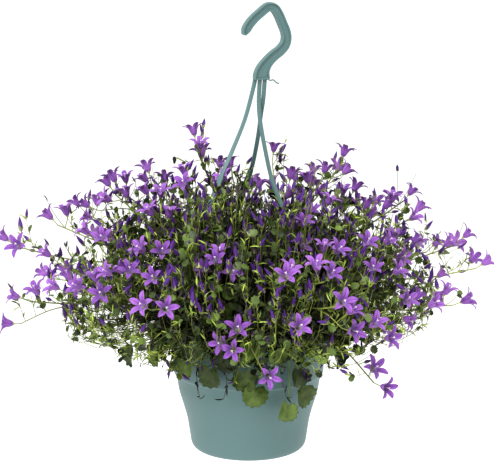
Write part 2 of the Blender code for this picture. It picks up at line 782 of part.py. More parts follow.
def inner_wall():
    """The pot's inside as (radius, height), from the floor up to the rim."""
    wall = [(radius * MM - POT_WALL, height * MM)
            for radius, height in POT_OUTSIDE if height in POT_INSIDE_HEIGHTS]
    return [(66 * MM, POT_FLOOR)] + wall[::-1]


def box_mesh(size, place, turn):
    bm = bmesh.new()
    bmesh.ops.create_cube(bm, size=1.0)
    bmesh.ops.scale(bm, vec=size, verts=bm.verts)
    bmesh.ops.rotate(bm, matrix=Matrix.Rotation(turn, 3, "Z"), verts=bm.verts)
    bmesh.ops.translate(bm, vec=place, verts=bm.verts)
    return as_mesh(bm, "box")


def peg_mesh(start, end, radius, sides):
    """A plain round peg between two points."""
    bm = bmesh.new()
    length = (end - start).length
    bmesh.ops.create_cone(bm, cap_ends=True, segments=sides, radius1=radius, radius2=radius, depth=length)
    turn = frame_on((end - start).normalized())
    bmesh.ops.rotate(bm, matrix=turn, verts=bm.verts)
    bmesh.ops.translate(bm, vec=(start + end) / 2, verts=bm.verts)
    return as_mesh(bm, "peg")


def make_pot(collection):
    profile = [(0.0, POT_FLOOR)] + inner_wall() + [(r * MM, z * MM) for r, z in POT_OUTSIDE] + [(0.0, 0.0)]
    pot = turned("pot", profile, POT_STEPS, collection, PLASTIC)
    lugs = []
    slots = []
    for degrees in LUG_ANGLES:
        angle = math.radians(degrees)
        out = Vector((math.cos(angle), math.sin(angle), 0))
        lug_place = out * (LUG_RADIUS + 0.3 * MM) + UP * (LUG_TOP - LUG_SIZE[2] / 2)
        lugs.append(box_mesh(LUG_SIZE, lug_place, angle))
        slots.append(box_mesh((*SLOT_SIZE, 12 * MM), out * LUG_RADIUS + UP * LUG_TOP, angle))
    for index in range(DRAIN_COUNT):
        angle = math.tau * index / DRAIN_COUNT
        place = Vector((math.cos(angle), math.sin(angle), 0)) * DRAIN_CIRCLE
        slots.append(peg_mesh(place - UP * 2 * MM, place + UP * 6 * MM, DRAIN_RADIUS, 8))
    combine(pot, lugs, "UNION", "EXACT")
    combine(pot, slots, "DIFFERENCE", "EXACT")
    pot.data.set_sharp_from_angle(angle=math.radians(30))
    return pot


def make_soil(collection):
    wall = [(radius, height) for radius, height in inner_wall() if height < SOIL_TOP - 2 * MM]
    edge = [(radius - SOIL_CLEARANCE, max(height, POT_FLOOR + GAP)) for radius, height in wall]
    profile = [(0.0, SOIL_TOP), (edge[-1][0], SOIL_TOP)] + edge[::-1] + [(0.0, edge[0][1])]
    return turned("soil", profile, SOIL_STEPS, collection, SOIL_BROWN)


def hook_outline(inset):
    """The hook's outline in its own plane, drawn in from its edge by the inset."""
    line = [Vector((u, z)) * MM for u, z, _ in HOOK_LINE]
    widths = [width * MM - inset for _, _, width in HOOK_LINE]
    sides = [[], []]
    for index, (spot, width) in enumerate(zip(line, widths)):
        ahead = line[min(index + 1, len(line) - 1)]
        behind = line[max(index - 1, 0)]
        along = (ahead - behind).normalized()
        across = Vector((-along.y, along.x))
        if inset and index in (0, len(line) - 1):
            spot = spot + along * (inset if index == 0 else -inset)
        sides[0].append(spot + across * width)
        sides[1].append(spot - across * width)
    return sides[0] + sides[1][::-1]


def plate_mesh(outline, middle, thickness):
    """A flat outline, made a plate of the given thickness whose middle lies that far from the hook's plane."""
    curve = bpy.data.curves.new("plate", "CURVE")
    curve.dimensions = "2D"
    curve.fill_mode = "BOTH"
    curve.extrude = thickness / 2
    spline = curve.splines.new("POLY")
    spline.points.add(len(outline) - 1)
    for spot, place in zip(spline.points, outline):
        spot.co = (place.x, place.y, 0, 1)
    spline.use_cyclic_u = True
    mesh = mesh_of_curve("plate", curve)
    place = Matrix.Translation((HOOK_AXIS_X, 0, 0)) @ Matrix.Rotation(HOOK_TURN, 4, "Z")
    upright = Matrix.Rotation(math.radians(90), 4, "X")
    mesh.transform(place @ Matrix.Translation((0, middle, 0)) @ upright)
    return mesh


def strap_line(strap, degrees):
    """A strap's line, from the hook's base down into the slot of its lug."""
    angle = math.radians(degrees)
    out = Vector((math.cos(angle), math.sin(angle), 0)) * LUG_RADIUS
    low = LUG_TOP - LUG_SIZE[2] - GAP
    return [point(place) for place in strap] + [out + UP * 152 * MM, out + UP * low]


def strap_mesh(strap, degrees):
    """A flat strap with its step in width, and the barb that holds under the lug, lofted from flat rings."""
    line = strap_line(strap, degrees)
    widths = [STRAP_WIDTH if place.z > STRAP_STEP_HEIGHT else STRAP_WIDE for place in line]
    angle = math.radians(degrees)
    lug_across = Vector((-math.sin(angle), math.cos(angle), 0))
    low = line[-1]
    line += [low - UP * 0.01 * MM, low - UP * 2.5 * MM, low - UP * BARB_LENGTH]
    widths += [BARB_WIDTH, BARB_WIDTH, 0.55 * STRAP_WIDE]
    bm = bmesh.new()
    rings = []
    for index, (spot, width) in enumerate(zip(line, widths)):
        ahead = line[min(index + 1, len(line) - 1)]
        behind = line[max(index - 1, 0)]
        along = (behind - ahead).normalized()
        share = min(1.0, index / 8)
        across = (Vector((math.cos(HOOK_TURN), math.sin(HOOK_TURN), 0)) * (1 - share)
                  + lug_across * (share if lug_across.x > 0 else -share))
        across = (across - along * across.dot(along)).normalized()
        deep = across.cross(along)
        rings.append([bm.verts.new(spot + across * width / 2 * a + deep * STRAP_THICKNESS / 2 * b)
                      for a, b in ((-1, -1), (1, -1), (1, 1), (-1, 1))])
    bm.faces.new(rings[0])
    bm.faces.new(rings[-1])
    for upper, lower in zip(rings, rings[1:]):
        for side in range(4):
            after = (side + 1) % 4
            bm.faces.new((upper[side], upper[after], lower[after], lower[side]))
    return as_mesh(bm, "strap")


def make_hanger(collection):
    plate = plate_mesh(hook_outline(0.0), 0.0, HOOK_THICKNESS)
    hanger = mesh_object("hanger", plate, collection, (PLASTIC,))
    offset = HOOK_THICKNESS / 2
    pockets = [plate_mesh(hook_outline(FLANGE)[1:-1], side * offset, 2 * POCKET_DEPTH)
               for side in (-1, 1)]
    combine(hanger, pockets, "DIFFERENCE", "EXACT")
    tail = tube_mesh("tail", [point(place) for place in TAIL_LINE], TAIL_RADIUS)
    straps = [strap_mesh(strap, angle) for strap, angle in zip(STRAPS, LUG_ANGLES)]
    combine(hanger, straps + [tail], "UNION")
    return hanger


# The grown pieces


def make_spray(name, spray, collection):
    thick, thin = STEM_RADIUS
    meshes = []
    for line, ending in zip(spray["lines"], spray["endings"]):
        if line is spray["lines"][0]:
            radii = [thick, thick] + [thick + (thin - thick) * share for share in (0.4, 0.7, 1.0)]
        else:
            radii = [thin] * len(line)
        meshes.append(stem_mesh(line, radii, ending))
    meshes += [bloom_mesh(bloom) for bloom in spray["blooms"]]
    meshes += [bud_mesh(bud) for bud in spray["buds"]]
    meshes += [leaf_mesh(stalk, blade) for stalk, blade in spray["leaves"]]
    obj = mesh_object(name, meshes[0], collection, (GREEN, LEAF_GREEN, VIOLET, DARK_VIOLET))
    combine(obj, meshes[1:], "UNION")
    return obj


def make_crown(leaves, sprays, collection):
    """The core, with a plain hole for each spray, and the leaves that stand out of it."""
    bm = bmesh.new()
    bmesh.ops.create_uvsphere(bm, u_segments=16, v_segments=8, radius=1.0)
    bmesh.ops.scale(bm, vec=(CORE_RADIUS, CORE_RADIUS, CORE_HEIGHT), verts=bm.verts)
    bmesh.ops.translate(bm, vec=CORE_CENTRE, verts=bm.verts)
    cut = bmesh.ops.bisect_plane(bm, geom=bm.verts[:] + bm.edges[:] + bm.faces[:], plane_no=UP,
                                 plane_co=(0, 0, SOIL_TOP + GAP), clear_inner=True)
    rim = [item for item in cut["geom_cut"] if isinstance(item, bmesh.types.BMEdge)]
    bmesh.ops.contextual_create(bm, geom=rim)
    crown = mesh_object("leaf_crown", as_mesh(bm, "leaf_crown", 1), collection, (GREEN, LEAF_GREEN))
    holes = []
    for spray in sprays:
        surface = core_point(spray["socket"])
        radius = (STEM_RADIUS[0] + GAP) / math.cos(math.pi / 4)
        end = surface - spray["socket"] * SOCKET_DEPTH
        holes.append(peg_mesh(end, surface + spray["socket"] * 4 * MM, radius, 4))
    combine(crown, holes, "DIFFERENCE")
    combine(crown, [leaf_mesh(stalk, blade) for stalk, blade in leaves], "UNION")
    return crown


def main():
    for obj in list(bpy.data.objects):
        bpy.data.objects.remove(obj)
    collection = new_collection("bellflower_hanging_basket")
    make_pot(collection)
    make_soil(collection)
    make_hanger(collection)
    room = furniture_room()
    sprays = plan_sprays(room)
    leaves = plan_crown(room, -3)
    for index, spray in enumerate(sprays):
        make_spray(f"spray_{index + 1:02d}", spray, collection)
    make_crown(leaves, sprays, collection)


if __name__ == "__main__":
    main()
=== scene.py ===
"""Dresses the bellflower in its hanging pot: fine pot, soil and hanger, leaves, stems, bells, buds and shoots.

Metres, +Z up. The origin is the centre of the pot's flat underside, and the front is -Y.
"""

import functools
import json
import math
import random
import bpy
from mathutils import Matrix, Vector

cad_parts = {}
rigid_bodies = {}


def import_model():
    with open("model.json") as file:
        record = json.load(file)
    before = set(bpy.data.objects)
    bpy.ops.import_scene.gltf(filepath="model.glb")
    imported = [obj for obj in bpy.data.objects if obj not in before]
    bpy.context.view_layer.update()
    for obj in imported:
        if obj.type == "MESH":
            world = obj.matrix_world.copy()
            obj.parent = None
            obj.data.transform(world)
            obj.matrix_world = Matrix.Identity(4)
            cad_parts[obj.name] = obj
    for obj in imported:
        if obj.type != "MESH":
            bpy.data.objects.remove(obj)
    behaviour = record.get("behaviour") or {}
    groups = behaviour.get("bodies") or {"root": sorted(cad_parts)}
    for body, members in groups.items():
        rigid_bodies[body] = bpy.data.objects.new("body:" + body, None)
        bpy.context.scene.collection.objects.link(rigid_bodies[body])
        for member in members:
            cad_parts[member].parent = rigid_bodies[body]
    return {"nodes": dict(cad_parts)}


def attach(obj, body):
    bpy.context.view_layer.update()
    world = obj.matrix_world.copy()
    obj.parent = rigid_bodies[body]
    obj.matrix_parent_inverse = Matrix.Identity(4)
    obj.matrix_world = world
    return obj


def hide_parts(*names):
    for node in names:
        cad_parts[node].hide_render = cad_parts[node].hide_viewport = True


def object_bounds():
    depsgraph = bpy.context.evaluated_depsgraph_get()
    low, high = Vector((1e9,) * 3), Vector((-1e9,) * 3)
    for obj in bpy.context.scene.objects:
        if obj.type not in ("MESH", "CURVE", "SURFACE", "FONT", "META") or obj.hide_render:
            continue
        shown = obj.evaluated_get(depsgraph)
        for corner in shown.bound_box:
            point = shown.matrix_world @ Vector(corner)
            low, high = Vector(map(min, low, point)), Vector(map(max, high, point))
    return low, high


bl_info = {
    "name": "Bellflower hanging basket",
    "version": (1, 0, 0),
    "blender": (4, 5, 0),
    "location": "3D View > Sidebar > Bellflower",
    "description": "Makes the visible pieces of a flowering hanging basket round its solid model",
    "category": "Object",
}

import bmesh
import bpy
import numpy as np
from bpy.props import FloatProperty, FloatVectorProperty, IntProperty, PointerProperty
from mathutils import Matrix, Vector
from mathutils.noise import fractal

for startup_object in list(bpy.data.objects):
    bpy.data.objects.remove(startup_object)

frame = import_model()
CAD_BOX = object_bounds()
SPRAY_NODES = sorted(name for name in frame["nodes"] if name.startswith("spray_"))

MM = 0.001
SEED = 41
GAP = 0.3 * MM
UP = Vector((0, 0, 1))
GOLDEN_ANGLE = math.pi * (3 - math.sqrt(5))

# Pot: half section of its outside as (radius, height) in mm, from the rim down to the foot
POT_OUTSIDE = (
    (94.4, 148.0), (95.5, 146.4), (93.9, 98.0), (91.3, 95.8), (88.7, 88.0), (84.1, 73.0),
    (79.4, 56.0), (76.2, 39.0), (73.5, 18.0), (71.6, 7.5), (68.6, 2.2), (63.5, 0.0),
)
POT_INSIDE_HEIGHTS = (18.0, 39.0, 56.0, 88.0, 98.0, 146.4)
POT_WALL = 1.9 * MM
POT_FLOOR = 2.2 * MM
DRAIN_RADIUS = 4.0 * MM
DRAIN_CIRCLE = 46.0 * MM
DRAIN_COUNT = 6

# Soil
SOIL_TOP = 124.0 * MM
SOIL_CLEARANCE = 0.9 * MM

# Lugs inside the rim, one for each strap of the hanger
LUG_ANGLES = (205.0, -25.0, 95.0)
LUG_RADIUS = 87.5 * MM
LUG_TOP = 142.0 * MM
LUG_SIZE = (12.6 * MM, 16.0 * MM, 4.0 * MM)
SLOT_SIZE = (3.2 * MM, 7.8 * MM)

# Hanger: centre line of the hook in its own plane and half its width there, in mm
HOOK_LINE = (
    (-21.6, 517.5, 4.2), (-20.2, 523, 5.0), (-16.2, 529, 5.2), (-9.7, 536, 5.2), (-1.0, 543, 5.2),
    (8.6, 549.5, 5.3), (16.5, 547.5, 5.4), (22.0, 540, 5.4), (26.6, 530, 5.4), (31.0, 520, 5.5),
    (32.4, 512, 5.6), (30.6, 504, 5.8), (24.6, 497, 6.0), (15.5, 490.5, 6.2), (7.5, 483, 6.6),
    (2.0, 475, 8.0), (0.0, 468, 9.4), (0.0, 462.5, 9.8),
)
HOOK_AXIS_X = 15.5 * MM
HOOK_TURN = math.radians(22)
HOOK_THICKNESS = 8.0 * MM
FLANGE = 1.7 * MM
POCKET_DEPTH = 2.2 * MM
STRAP_WIDTH = 4.8 * MM
STRAP_WIDE = 6.6 * MM
STRAP_THICKNESS = 2.2 * MM
STRAP_STEP_HEIGHT = 345.0 * MM
BARB_WIDTH = 10.0 * MM
BARB_LENGTH = 8.0 * MM
STRAPS = (
    ((9, 0, 468), (5, -1, 449), (-5, -6, 413), (-21, -13, 374), (-30, -18, 354), (-40, -23, 329),
     (-51, -28, 302), (-62, -32, 258), (-72, -35, 212), (-78, -36.6, 175)),
    ((14, 0, 468), (12.5, -1, 440), (13, -4, 423), (15, -7, 406), (20, -12, 379), (27, -17, 347),
     (34, -20, 327), (43, -24, 304), (53, -28, 272), (66, -33, 230), (75, -35.6, 190)),
    ((20, 1, 468), (18, 4, 439), (15, 10, 418), (13, 15, 400), (10, 21, 380), (5, 30, 354),
     (-2, 40, 332), (-9, 50, 312), (-13, 62, 278), (-11, 77, 225), (-8, 85.6, 180)),
)
TAIL_LINE = ((21, -1, 463.5), (26, -2, 461.5), (30, -3, 462), (34, -3, 458.5), (37, -3, 458))
TAIL_RADIUS = 0.8 * MM

# Leaf crown: a small core that the stems stand in, and leaves that stand out of it
CORE_CENTRE = Vector((0, 0, 158 * MM))
CORE_RADIUS = 70.0 * MM
CORE_HEIGHT = 74.0 * MM
SOCKET_DEPTH = 18.0 * MM
ROOT_DEPTH = 9.0 * MM
CROWN_LEAVES = 40
LEAF_LENGTH = (24 * MM, 32 * MM)
# Middles of the leaves that hang over the front of the rim, in mm
RIM_LEAVES = (
    (7, -106, 99), (45, -98, 76), (64, -86, 91), (-44, -99, 120), (58, -93, 118), (-73, -79, 125),
    (-4, -112, 119), (-24, -112, 141), (-142, -49, 131), (-110, -65, 134), (33, -109, 149),
    (89, -74, 142), (-62, -96, 154), (5, -118, 160), (-89, -78, 163),
)
RIM_LEAF_LENGTH = (24 * MM, 30 * MM)
RIM_LEAF_HEIGHTS = (112 * MM, 140 * MM)
BACK_RIM_LEAVES = 9
LEAVES_APART = 17 * MM

# Sprays of the front half: the heads of each, as (x, y, z, blooms) in mm
FRONT_SPRAYS = (
    ((-285, -20, 260, 2),), ((-240, 40, 275, 2),), ((-165, 75, 315, 2), (-190, 60, 290, 2)),
    ((-185, -40, 270, 3),), ((-215, -100, 220, 3), (-225, -70, 248, 1)), ((-185, -125, 225, 3),),
    ((-265, -40, 195, 2), (-280, -30, 165, 1)), ((-150, -135, 245, 3),),
    ((-115, -110, 265, 2), (-100, -165, 250, 1)), ((-110, -185, 220, 2),), ((-110, -50, 295, 2),),
    ((-120, 20, 310, 2),), ((-65, 60, 370, 3),), ((-75, 5, 335, 2),), ((-20, 40, 335, 2),),
    ((-35, -150, 260, 4),), ((-15, -190, 180, 3), (15, -200, 155, 1)),
    ((50, 50, 320, 3), (30, 62, 352, 1)), ((90, 80, 320, 3),), ((130, 90, 300, 3),),
    ((160, 50, 285, 2),), ((205, 60, 280, 2),), ((190, -20, 255, 3),), ((280, -10, 230, 2),),
    ((245, -60, 195, 2), (225, -20, 215, 2)), ((200, -105, 200, 4),), ((160, -100, 235, 2),),
    ((95, -120, 265, 2),), ((60, -80, 285, 3),), ((40, -190, 250, 2),), ((85, -175, 250, 2),),
    ((100, -200, 228, 1), (105, -188, 200, 2)), ((50, -205, 200, 1),), ((150, -155, 180, 2),),
    ((150, -50, 260, 2),), ((145, -150, 125, 2),), ((90, -10, 295, 2),),
)
# Sprays of the back half, spread by a rule
BACK_SPRAYS = 17
BACK_BLOOMS = 3
BACK_REACH = (255 * MM, 300 * MM, 200 * MM)

BELL_LENGTH = 11.5 * MM
BELL_RADIUS = 14.2 * MM
BUD_LENGTH = 16 * MM
BUD_PLACE = 30 * MM
SMALL_LEAF_LENGTH = (17 * MM, 22 * MM)
BLOOM_SPACING = 10 * MM
MOUTHS_APART = 17 * MM
PLACE_TRIES = 36
RIM_TRIES = 150

# The pot's wall and lugs as balls, which the plant is placed clear of
WALL_BALL = 2.6 * MM
WALL_BALLS_ROUND = 120
BAND_RADIUS = 94 * MM
BAND_HEIGHTS = (112 * MM, 119 * MM, 133 * MM, 140 * MM)
STRAP_BALL = 3.9 * MM
LUG_BALL = 5 * MM

# Steps round the turned pieces
POT_ROUND_STEPS = 128
SOIL_ROUND_STEPS = 72

# A seed for each piece's random draws
SEEDS = {"leaves": 11, "stems": 23, "shoots": 37, "growth": 53, "bells": 71}

# Thin brown twigs that hang before the pot, in mm
DANGLING_TWIGS = (
    ((-55, -80, 172), (-58, -92, 160), (-60, -98, 140), (-62, -96, 112), (-58, -95, 88)),
    ((-30, -90, 170), (-30, -101, 158), (-29, -107, 135), (-26, -105, 110), (-30, -102, 90)),
    ((34, -85, 172), (35, -98, 160), (36, -104, 138), (40, -100, 112), (45, -97, 92)),
)

# Camera: its place, what it looks at and its lens
CAMERA_PLACE = Vector((-1.9 * MM, -1963.3 * MM, 655.5 * MM))
CAMERA_AIM = Vector((-1.9 * MM, 0, 273.9 * MM))
CAMERA_LENS = 118.1

# What a user may change


def colour_setting(name, description, value):
    """A colour of the panel, whose default is given as display values from 0 to 255."""
    return FloatVectorProperty(name=name, description=description, subtype="COLOR", size=3, min=0.0, max=1.0,
                               default=[linear(channel) for channel in value])


def linear(channel):
    """The light of a display value from 0 to 255."""
    share = channel / 255
    return share / 12.92 if share <= 0.04045 else ((share + 0.055) / 1.055) ** 2.4


class PotSettings(bpy.types.PropertyGroup):
    plastic: colour_setting("Plastic", "Colour of the pot and of its hanger", (82, 110, 109))
    dust: colour_setting("Dust", "Colour of the dry film on the plastic", (91, 119, 117))
    rim_bead: FloatProperty(name="Rim bead", description="Radius of the rounded lip of the pot", default=1.3 * MM,
                            min=0.0, max=3 * MM, unit="LENGTH")
    edge: FloatProperty(name="Moulded edge", description="Width of the rounding on the hanger's edges",
                        default=0.45 * MM, min=0.0, max=1 * MM, unit="LENGTH")


class SoilSettings(bpy.types.PropertyGroup):
    peat: colour_setting("Peat", "Colour of the moist peat", (62, 44, 32))
    crumb: colour_setting("Crumbs", "Colour of the dry crumbs and fibres", (112, 86, 62))
    relief: FloatProperty(name="Relief", description="Height of the soil's lumps", default=2.2 * MM, min=0.0,
                          max=6 * MM, unit="LENGTH")


class LeafSettings(bpy.types.PropertyGroup):
    # Deep green is the old leaves' colour and also the dark end of the painted shade on the inner leaves and of the
    # inner tangle.
    deep: colour_setting("Deep green", "Colour of the old leaves", (31, 46, 15))
    fresh: colour_setting("Fresh green", "Colour of the young leaves", (110, 133, 58))
    vein: colour_setting("Veins", "Colour of the veins", (112, 134, 80))
    spike: colour_setting("Spiky green", "Colour of the shoots' narrow leaves", (174, 194, 84))
    inner_shoots: IntProperty(name="Inner shoots", description="Leafy shoots that fill the mound", default=1500,
                              min=50, max=2000)
    rim_shoots: IntProperty(name="Rim shoots", description="Leafy shoots that hang over the pot's rim", default=320,
                            min=0, max=400)
    small_length: FloatProperty(name="Small leaf", description="Mean length of a shoot's leaf", default=10.5 * MM,
                                min=4 * MM, max=20 * MM, unit="LENGTH")


class FlowerSettings(bpy.types.PropertyGroup):
    petal: colour_setting("Petals", "Colour of the open bells", (157, 103, 186))
    petal_deep: colour_setting("Petal shade", "Colour along the petals' ribs", (84, 34, 124))
    throat: colour_setting("Throat", "Colour inside the bell's base", (190, 168, 220))
    bud: colour_setting("Buds", "Colour of the closed buds", (98, 48, 144))
    stem: colour_setting("Stems", "Colour of the stems", (154, 166, 84))
    bell_scale: FloatProperty(name="Bell scale", description="Size of the open bells", default=1.12, min=0.8, max=1.3)
    side_twigs: IntProperty(name="Side twigs", description="Side twigs on each flowering stem", default=12, min=0,
                           max=20)


class StageSettings(bpy.types.PropertyGroup):
    floor: colour_setting("Floor", "Colour of the floor", (247, 247, 247))
    drop: FloatProperty(name="Hanging height", description="How far the pot hangs over the floor",
                        default=500 * MM, min=0.0, max=2.0, unit="LENGTH")
    key: FloatProperty(name="Key light", description="Power of the large light at the front left", default=92.0,
                       min=0.0, max=500.0, unit="POWER")
    fill: FloatProperty(name="Surround", description="Strength of the white surround", default=1.0, min=0.0,
                        max=5.0)


# Materials


class Value:
    """A shader value. Python's operators on it add Math nodes to its material."""

    def __init__(self, tree, socket):
        self.tree = tree
        self.socket = socket

    def math(self, operation, *terms):
        node = self.tree.nodes.new("ShaderNodeMath")
        node.operation = operation
        for socket, term in zip(node.inputs, terms):
            feed(self.tree, socket, term)
        return Value(self.tree, node.outputs[0])

    def __add__(self, other):
        return self.math("ADD", self, other)

    def __sub__(self, other):
        return self.math("SUBTRACT", self, other)

    def __rsub__(self, other):
        return self.math("SUBTRACT", other, self)

    def __mul__(self, other):
        return self.math("MULTIPLY", self, other)

    def __pow__(self, other):
        return self.math("POWER", self, other)

    __radd__ = __add__
    __rmul__ = __mul__

    def clamped(self):
        return self.math("MINIMUM", self.math("MAXIMUM", self, 0.0), 1.0)

    def size(self):
        return self.math("ABSOLUTE", self)


def feed(tree, socket, term):
    """Links a value to a socket, or sets the socket to a plain number or colour."""
    if isinstance(term, Value):
        tree.links.new(term.socket, socket)
    else:
        is_colour = socket.type == "RGBA" and len(term) == 3
        socket.default_value = (*term, 1) if is_colour else term


class Finish:
    """A material on one Principled shader, whose nodes are added one call at a time."""

    def __init__(self, name, roughness, **constants):
        self.material = bpy.data.materials.new(name)
        self.material.use_nodes = True
        self.tree = self.material.node_tree
        self.shader = self.tree.nodes["Principled BSDF"]
        self.shader.inputs["Roughness"].default_value = roughness
        for socket, value in constants.items():
            self.shader.inputs[socket.replace("_", " ")].default_value = value

    def node(self, kind, settings, sockets, output=0):
        """A node with its settings made first and then its sockets' values and links."""
        node = self.tree.nodes.new(kind)
        for setting, value in settings.items():
            setattr(node, setting, value)
        for socket, term in sockets.items():
            feed(self.tree, node.inputs[socket], term)
        return Value(self.tree, node.outputs[output])

    def mix(self, share, first, second):
        """A colour between two colours. Sockets 0, 6 and 7 are the node's factor and colours."""
        return self.node("ShaderNodeMix", {"data_type": "RGBA"}, {0: share, 6: first, 7: second}, 2)

    def mark(self, name):
        """A number that the mesh carries at each point."""
        return self.node("ShaderNodeAttribute", {"attribute_name": name}, {}, "Fac")

    def place(self):
        return self.node("ShaderNodeTexCoord", {}, {}, "Object")

    def noise(self, scale, detail=3.0, vector=None):
        """Soft noise from 0 to 1, whose lumps are about one scaleth of a metre."""
        return self.node("ShaderNodeTexNoise", {}, {"Scale": scale, "Detail": detail,
                                                    "Vector": vector or self.place()}, "Fac")

    def colour(self, value):
        feed(self.tree, self.shader.inputs["Base Color"], value)

    def roughness(self, value):
        feed(self.tree, self.shader.inputs["Roughness"], value)

    def bump(self, height, distance, strength=1.0):
        normal = self.node("ShaderNodeBump", {}, {"Height": height, "Distance": distance, "Strength": strength},
                           "Normal")
        feed(self.tree, self.shader.inputs["Normal"], normal)


def darker(colour, share):
    """A colour at this share of its light."""
    return tuple(channel * share for channel in colour)


def moulded_plastic(name, settings):
    """Satin moulded plastic with a fine grain and dry dust in faint clouds."""
    finish = Finish(name, 0.5)
    cloud = finish.noise(14.0, 4.0)
    speck = finish.noise(260.0, 2.0)
    worn = finish.mix((cloud - 0.35).clamped() * 0.55, settings.plastic, settings.dust)
    finish.colour(finish.mix((speck - 0.60).clamped() * 0.9, worn, darker(settings.plastic, 0.72)))
    finish.roughness(0.40 + cloud * 0.22)
    finish.bump(speck + finish.noise(900.0, 1.0) * 0.5, 0.00006)
    return finish.material


def potting_soil(settings):
    """Moist peat with dry crumbs and short fibres."""
    finish = Finish("moist_peat", 0.95)
    crumb = finish.noise(420.0, 5.0)
    lump = finish.noise(90.0, 4.0)
    base = finish.mix((lump * 1.6 - 0.4).clamped(), darker(settings.peat, 0.45), settings.peat)
    finish.colour(finish.mix((crumb * 4 - 2.2).clamped(), base, settings.crumb))
    finish.bump(crumb + lump, 0.0012)
    return finish.material


def leaf_finish(name, settings, deep, fresh, roughness):
    """A leaf, whose tone runs from leaf to leaf, with paler veins and a darker edge. Low tone makes it darker green
    and then very dark: at random on the large leaves, and as painted shade on the shoots' leaves, whose tone falls
    towards the mound's middle.
    """
    finish = Finish(name, roughness, Specular_IOR_Level=0.4)
    tone = finish.mark("tone")
    mottle = finish.noise(190.0, 3.0)
    blotch = finish.noise(75.0, 3.0)
    # On the shoots' leaves the tone falls towards the mound's middle, so the deeper green there is painted shade.
    blade = finish.mix((tone * 1.25 + mottle * 0.6 + blotch * 1.2 - 0.84).clamped(), deep, fresh)
    blade = finish.mix(finish.mark("vein") * (0.10 + tone * 0.30), blade, settings.vein)
    # Painted shade: low tone goes very dark, which deep in the mound stands for the shade there; on the large leaves
    # the tone is random.
    blade = finish.mix((0.40 - tone).clamped() * 2.4, blade, darker(deep, 0.22))
    finish.colour(finish.mix((finish.mark("reach") * 2.4 - 1.7).clamped() * 0.9, blade, darker(deep, 0.6)))
    finish.roughness(roughness - 0.12 + mottle * 0.24)
    finish.bump(mottle + finish.mark("vein") * 0.5, 0.0004)
    return finish.material


def tangle_and_shade_finish(settings):
    """The plant's inner tangle: brown-green with streaks of stems and leaves, its deep green darkened far down as
    painted shade of the plant's inside.
    """
    finish = Finish("inner_tangle_and_shade_finish", 0.9)
    streak = finish.noise(160.0, 5.0)
    fleck = finish.noise(380.0, 3.0)
    # Painted shade: both ends are the deep green darkened to 22 and 75 per cent, for the shaded inside of the plant.
    dark = finish.mix((streak * 2 - 0.6).clamped(), darker(settings.deep, 0.22), darker(settings.deep, 0.75))
    finish.colour(finish.mix((fleck * 4 - 2.3).clamped(), dark, settings.deep))
    finish.bump(streak + fleck, 0.003)
    return finish.material


def stem_finish(settings):
    """Thin stems: yellow-green, going darker and then brown where their tone is low. The dangling twigs are brown of
    their own; on the other stems the tone falls towards the plant's inside, so the dark and brown there are painted
    shade.
    """
    finish = Finish("thin_stem", 0.55, Specular_IOR_Level=0.35)
    tone = finish.mark("tone")
    streak = finish.noise(150.0, 3.0)
    # Painted shade: the stems' tone falls towards the plant's inside, so low tone darkens them there.
    green = finish.mix((tone * 1.5 + streak * 0.5 - 0.35).clamped(), darker(settings.stem, 0.16), settings.stem)
    finish.colour(finish.mix((0.16 - tone).clamped() * 4, green, (0.075, 0.042, 0.028)))
    finish.bump(streak, 0.0003)
    return finish.material


def petal_finish(settings):
    """Thin petals: whitish down in the throat, a deeper rib along each lobe and fine lengthwise streaks."""
    finish = Finish("thin_petal", 0.6, Specular_IOR_Level=0.25, Sheen_Weight=0.15, Sheen_Roughness=0.5)
    tone, reach, side = (finish.mark(name) for name in ("tone", "reach", "side"))
    streaked = finish.node("ShaderNodeCombineXYZ", {}, {"X": side * 3.0, "Y": reach * 0.8, "Z": tone * 40.0})
    streak = finish.noise(2.6, 3.0, streaked)
    light = finish.mix((streak * 1.6 - 0.4).clamped(), darker(settings.petal, 0.84), settings.petal)
    light = finish.mix(tone * 0.45, light, settings.petal_deep)
    rib = (1.0 - side.size() * 5.0).clamped() * 0.75
    ribbed = finish.mix(rib, light, settings.petal_deep)
    throat = (0.42 - reach).clamped() * 1.5 * finish.mark("inside")
    finish.colour(finish.mix(throat.clamped(), ribbed, settings.throat))
    finish.roughness(0.5 + streak * 0.2)
    finish.bump(streak - rib, 0.0003)
    return finish.material


def bud_finish(settings):
    """Closed buds: greenish at the base and violet above, with painted shade in the sunken grooves of their pleats.
    The youngest are grey-green.
    """
    finish = Finish("closed_bud", 0.5, Specular_IOR_Level=0.35)
    tone, reach, side = (finish.mark(name) for name in ("tone", "reach", "side"))
    pleat = side.size()
    violet = finish.mix((tone * 1.5 - 0.3).clamped(), darker(settings.bud, 0.42), settings.bud)
    # Painted shade: the pleats' sunken grooves are darkened.
    violet = finish.mix(pleat * 0.7, violet, darker(settings.bud, 0.25))
    violet = finish.mix((0.28 - tone).clamped() * 3.2, violet, (0.085, 0.095, 0.055))
    finish.colour(finish.mix((0.24 - reach).clamped() * 3.6, violet, settings.stem))
    finish.bump(pleat, 0.0003)
    return finish.material


def pale_finish(settings):
    """The pale style in the middle of a bell."""
    finish = Finish("pale_style", 0.5)
    finish.colour(finish.mix(finish.mark("reach"), settings.petal, (0.74, 0.70, 0.68)))
    return finish.material


def floor_finish(settings):
    """Pale matt floor with a faint clouding."""
    finish = Finish("pale_floor", 0.9)
    grain = finish.noise(6.0, 2.0)
    finish.colour(finish.mix(grain * 0.2, settings.floor, darker(settings.floor, 0.97)))
    return finish.material


# Where the plant's solid pieces are


def point(values):
    """A place given in millimetres, in metres."""
    return Vector(values[:3]) * MM


def frame_on(axis, roll=0.0):
    """A rotation whose Z is the axis, turned round it by roll."""
    return axis.to_track_quat("Z", "Y").to_matrix() @ Matrix.Rotation(roll, 3, "Z")


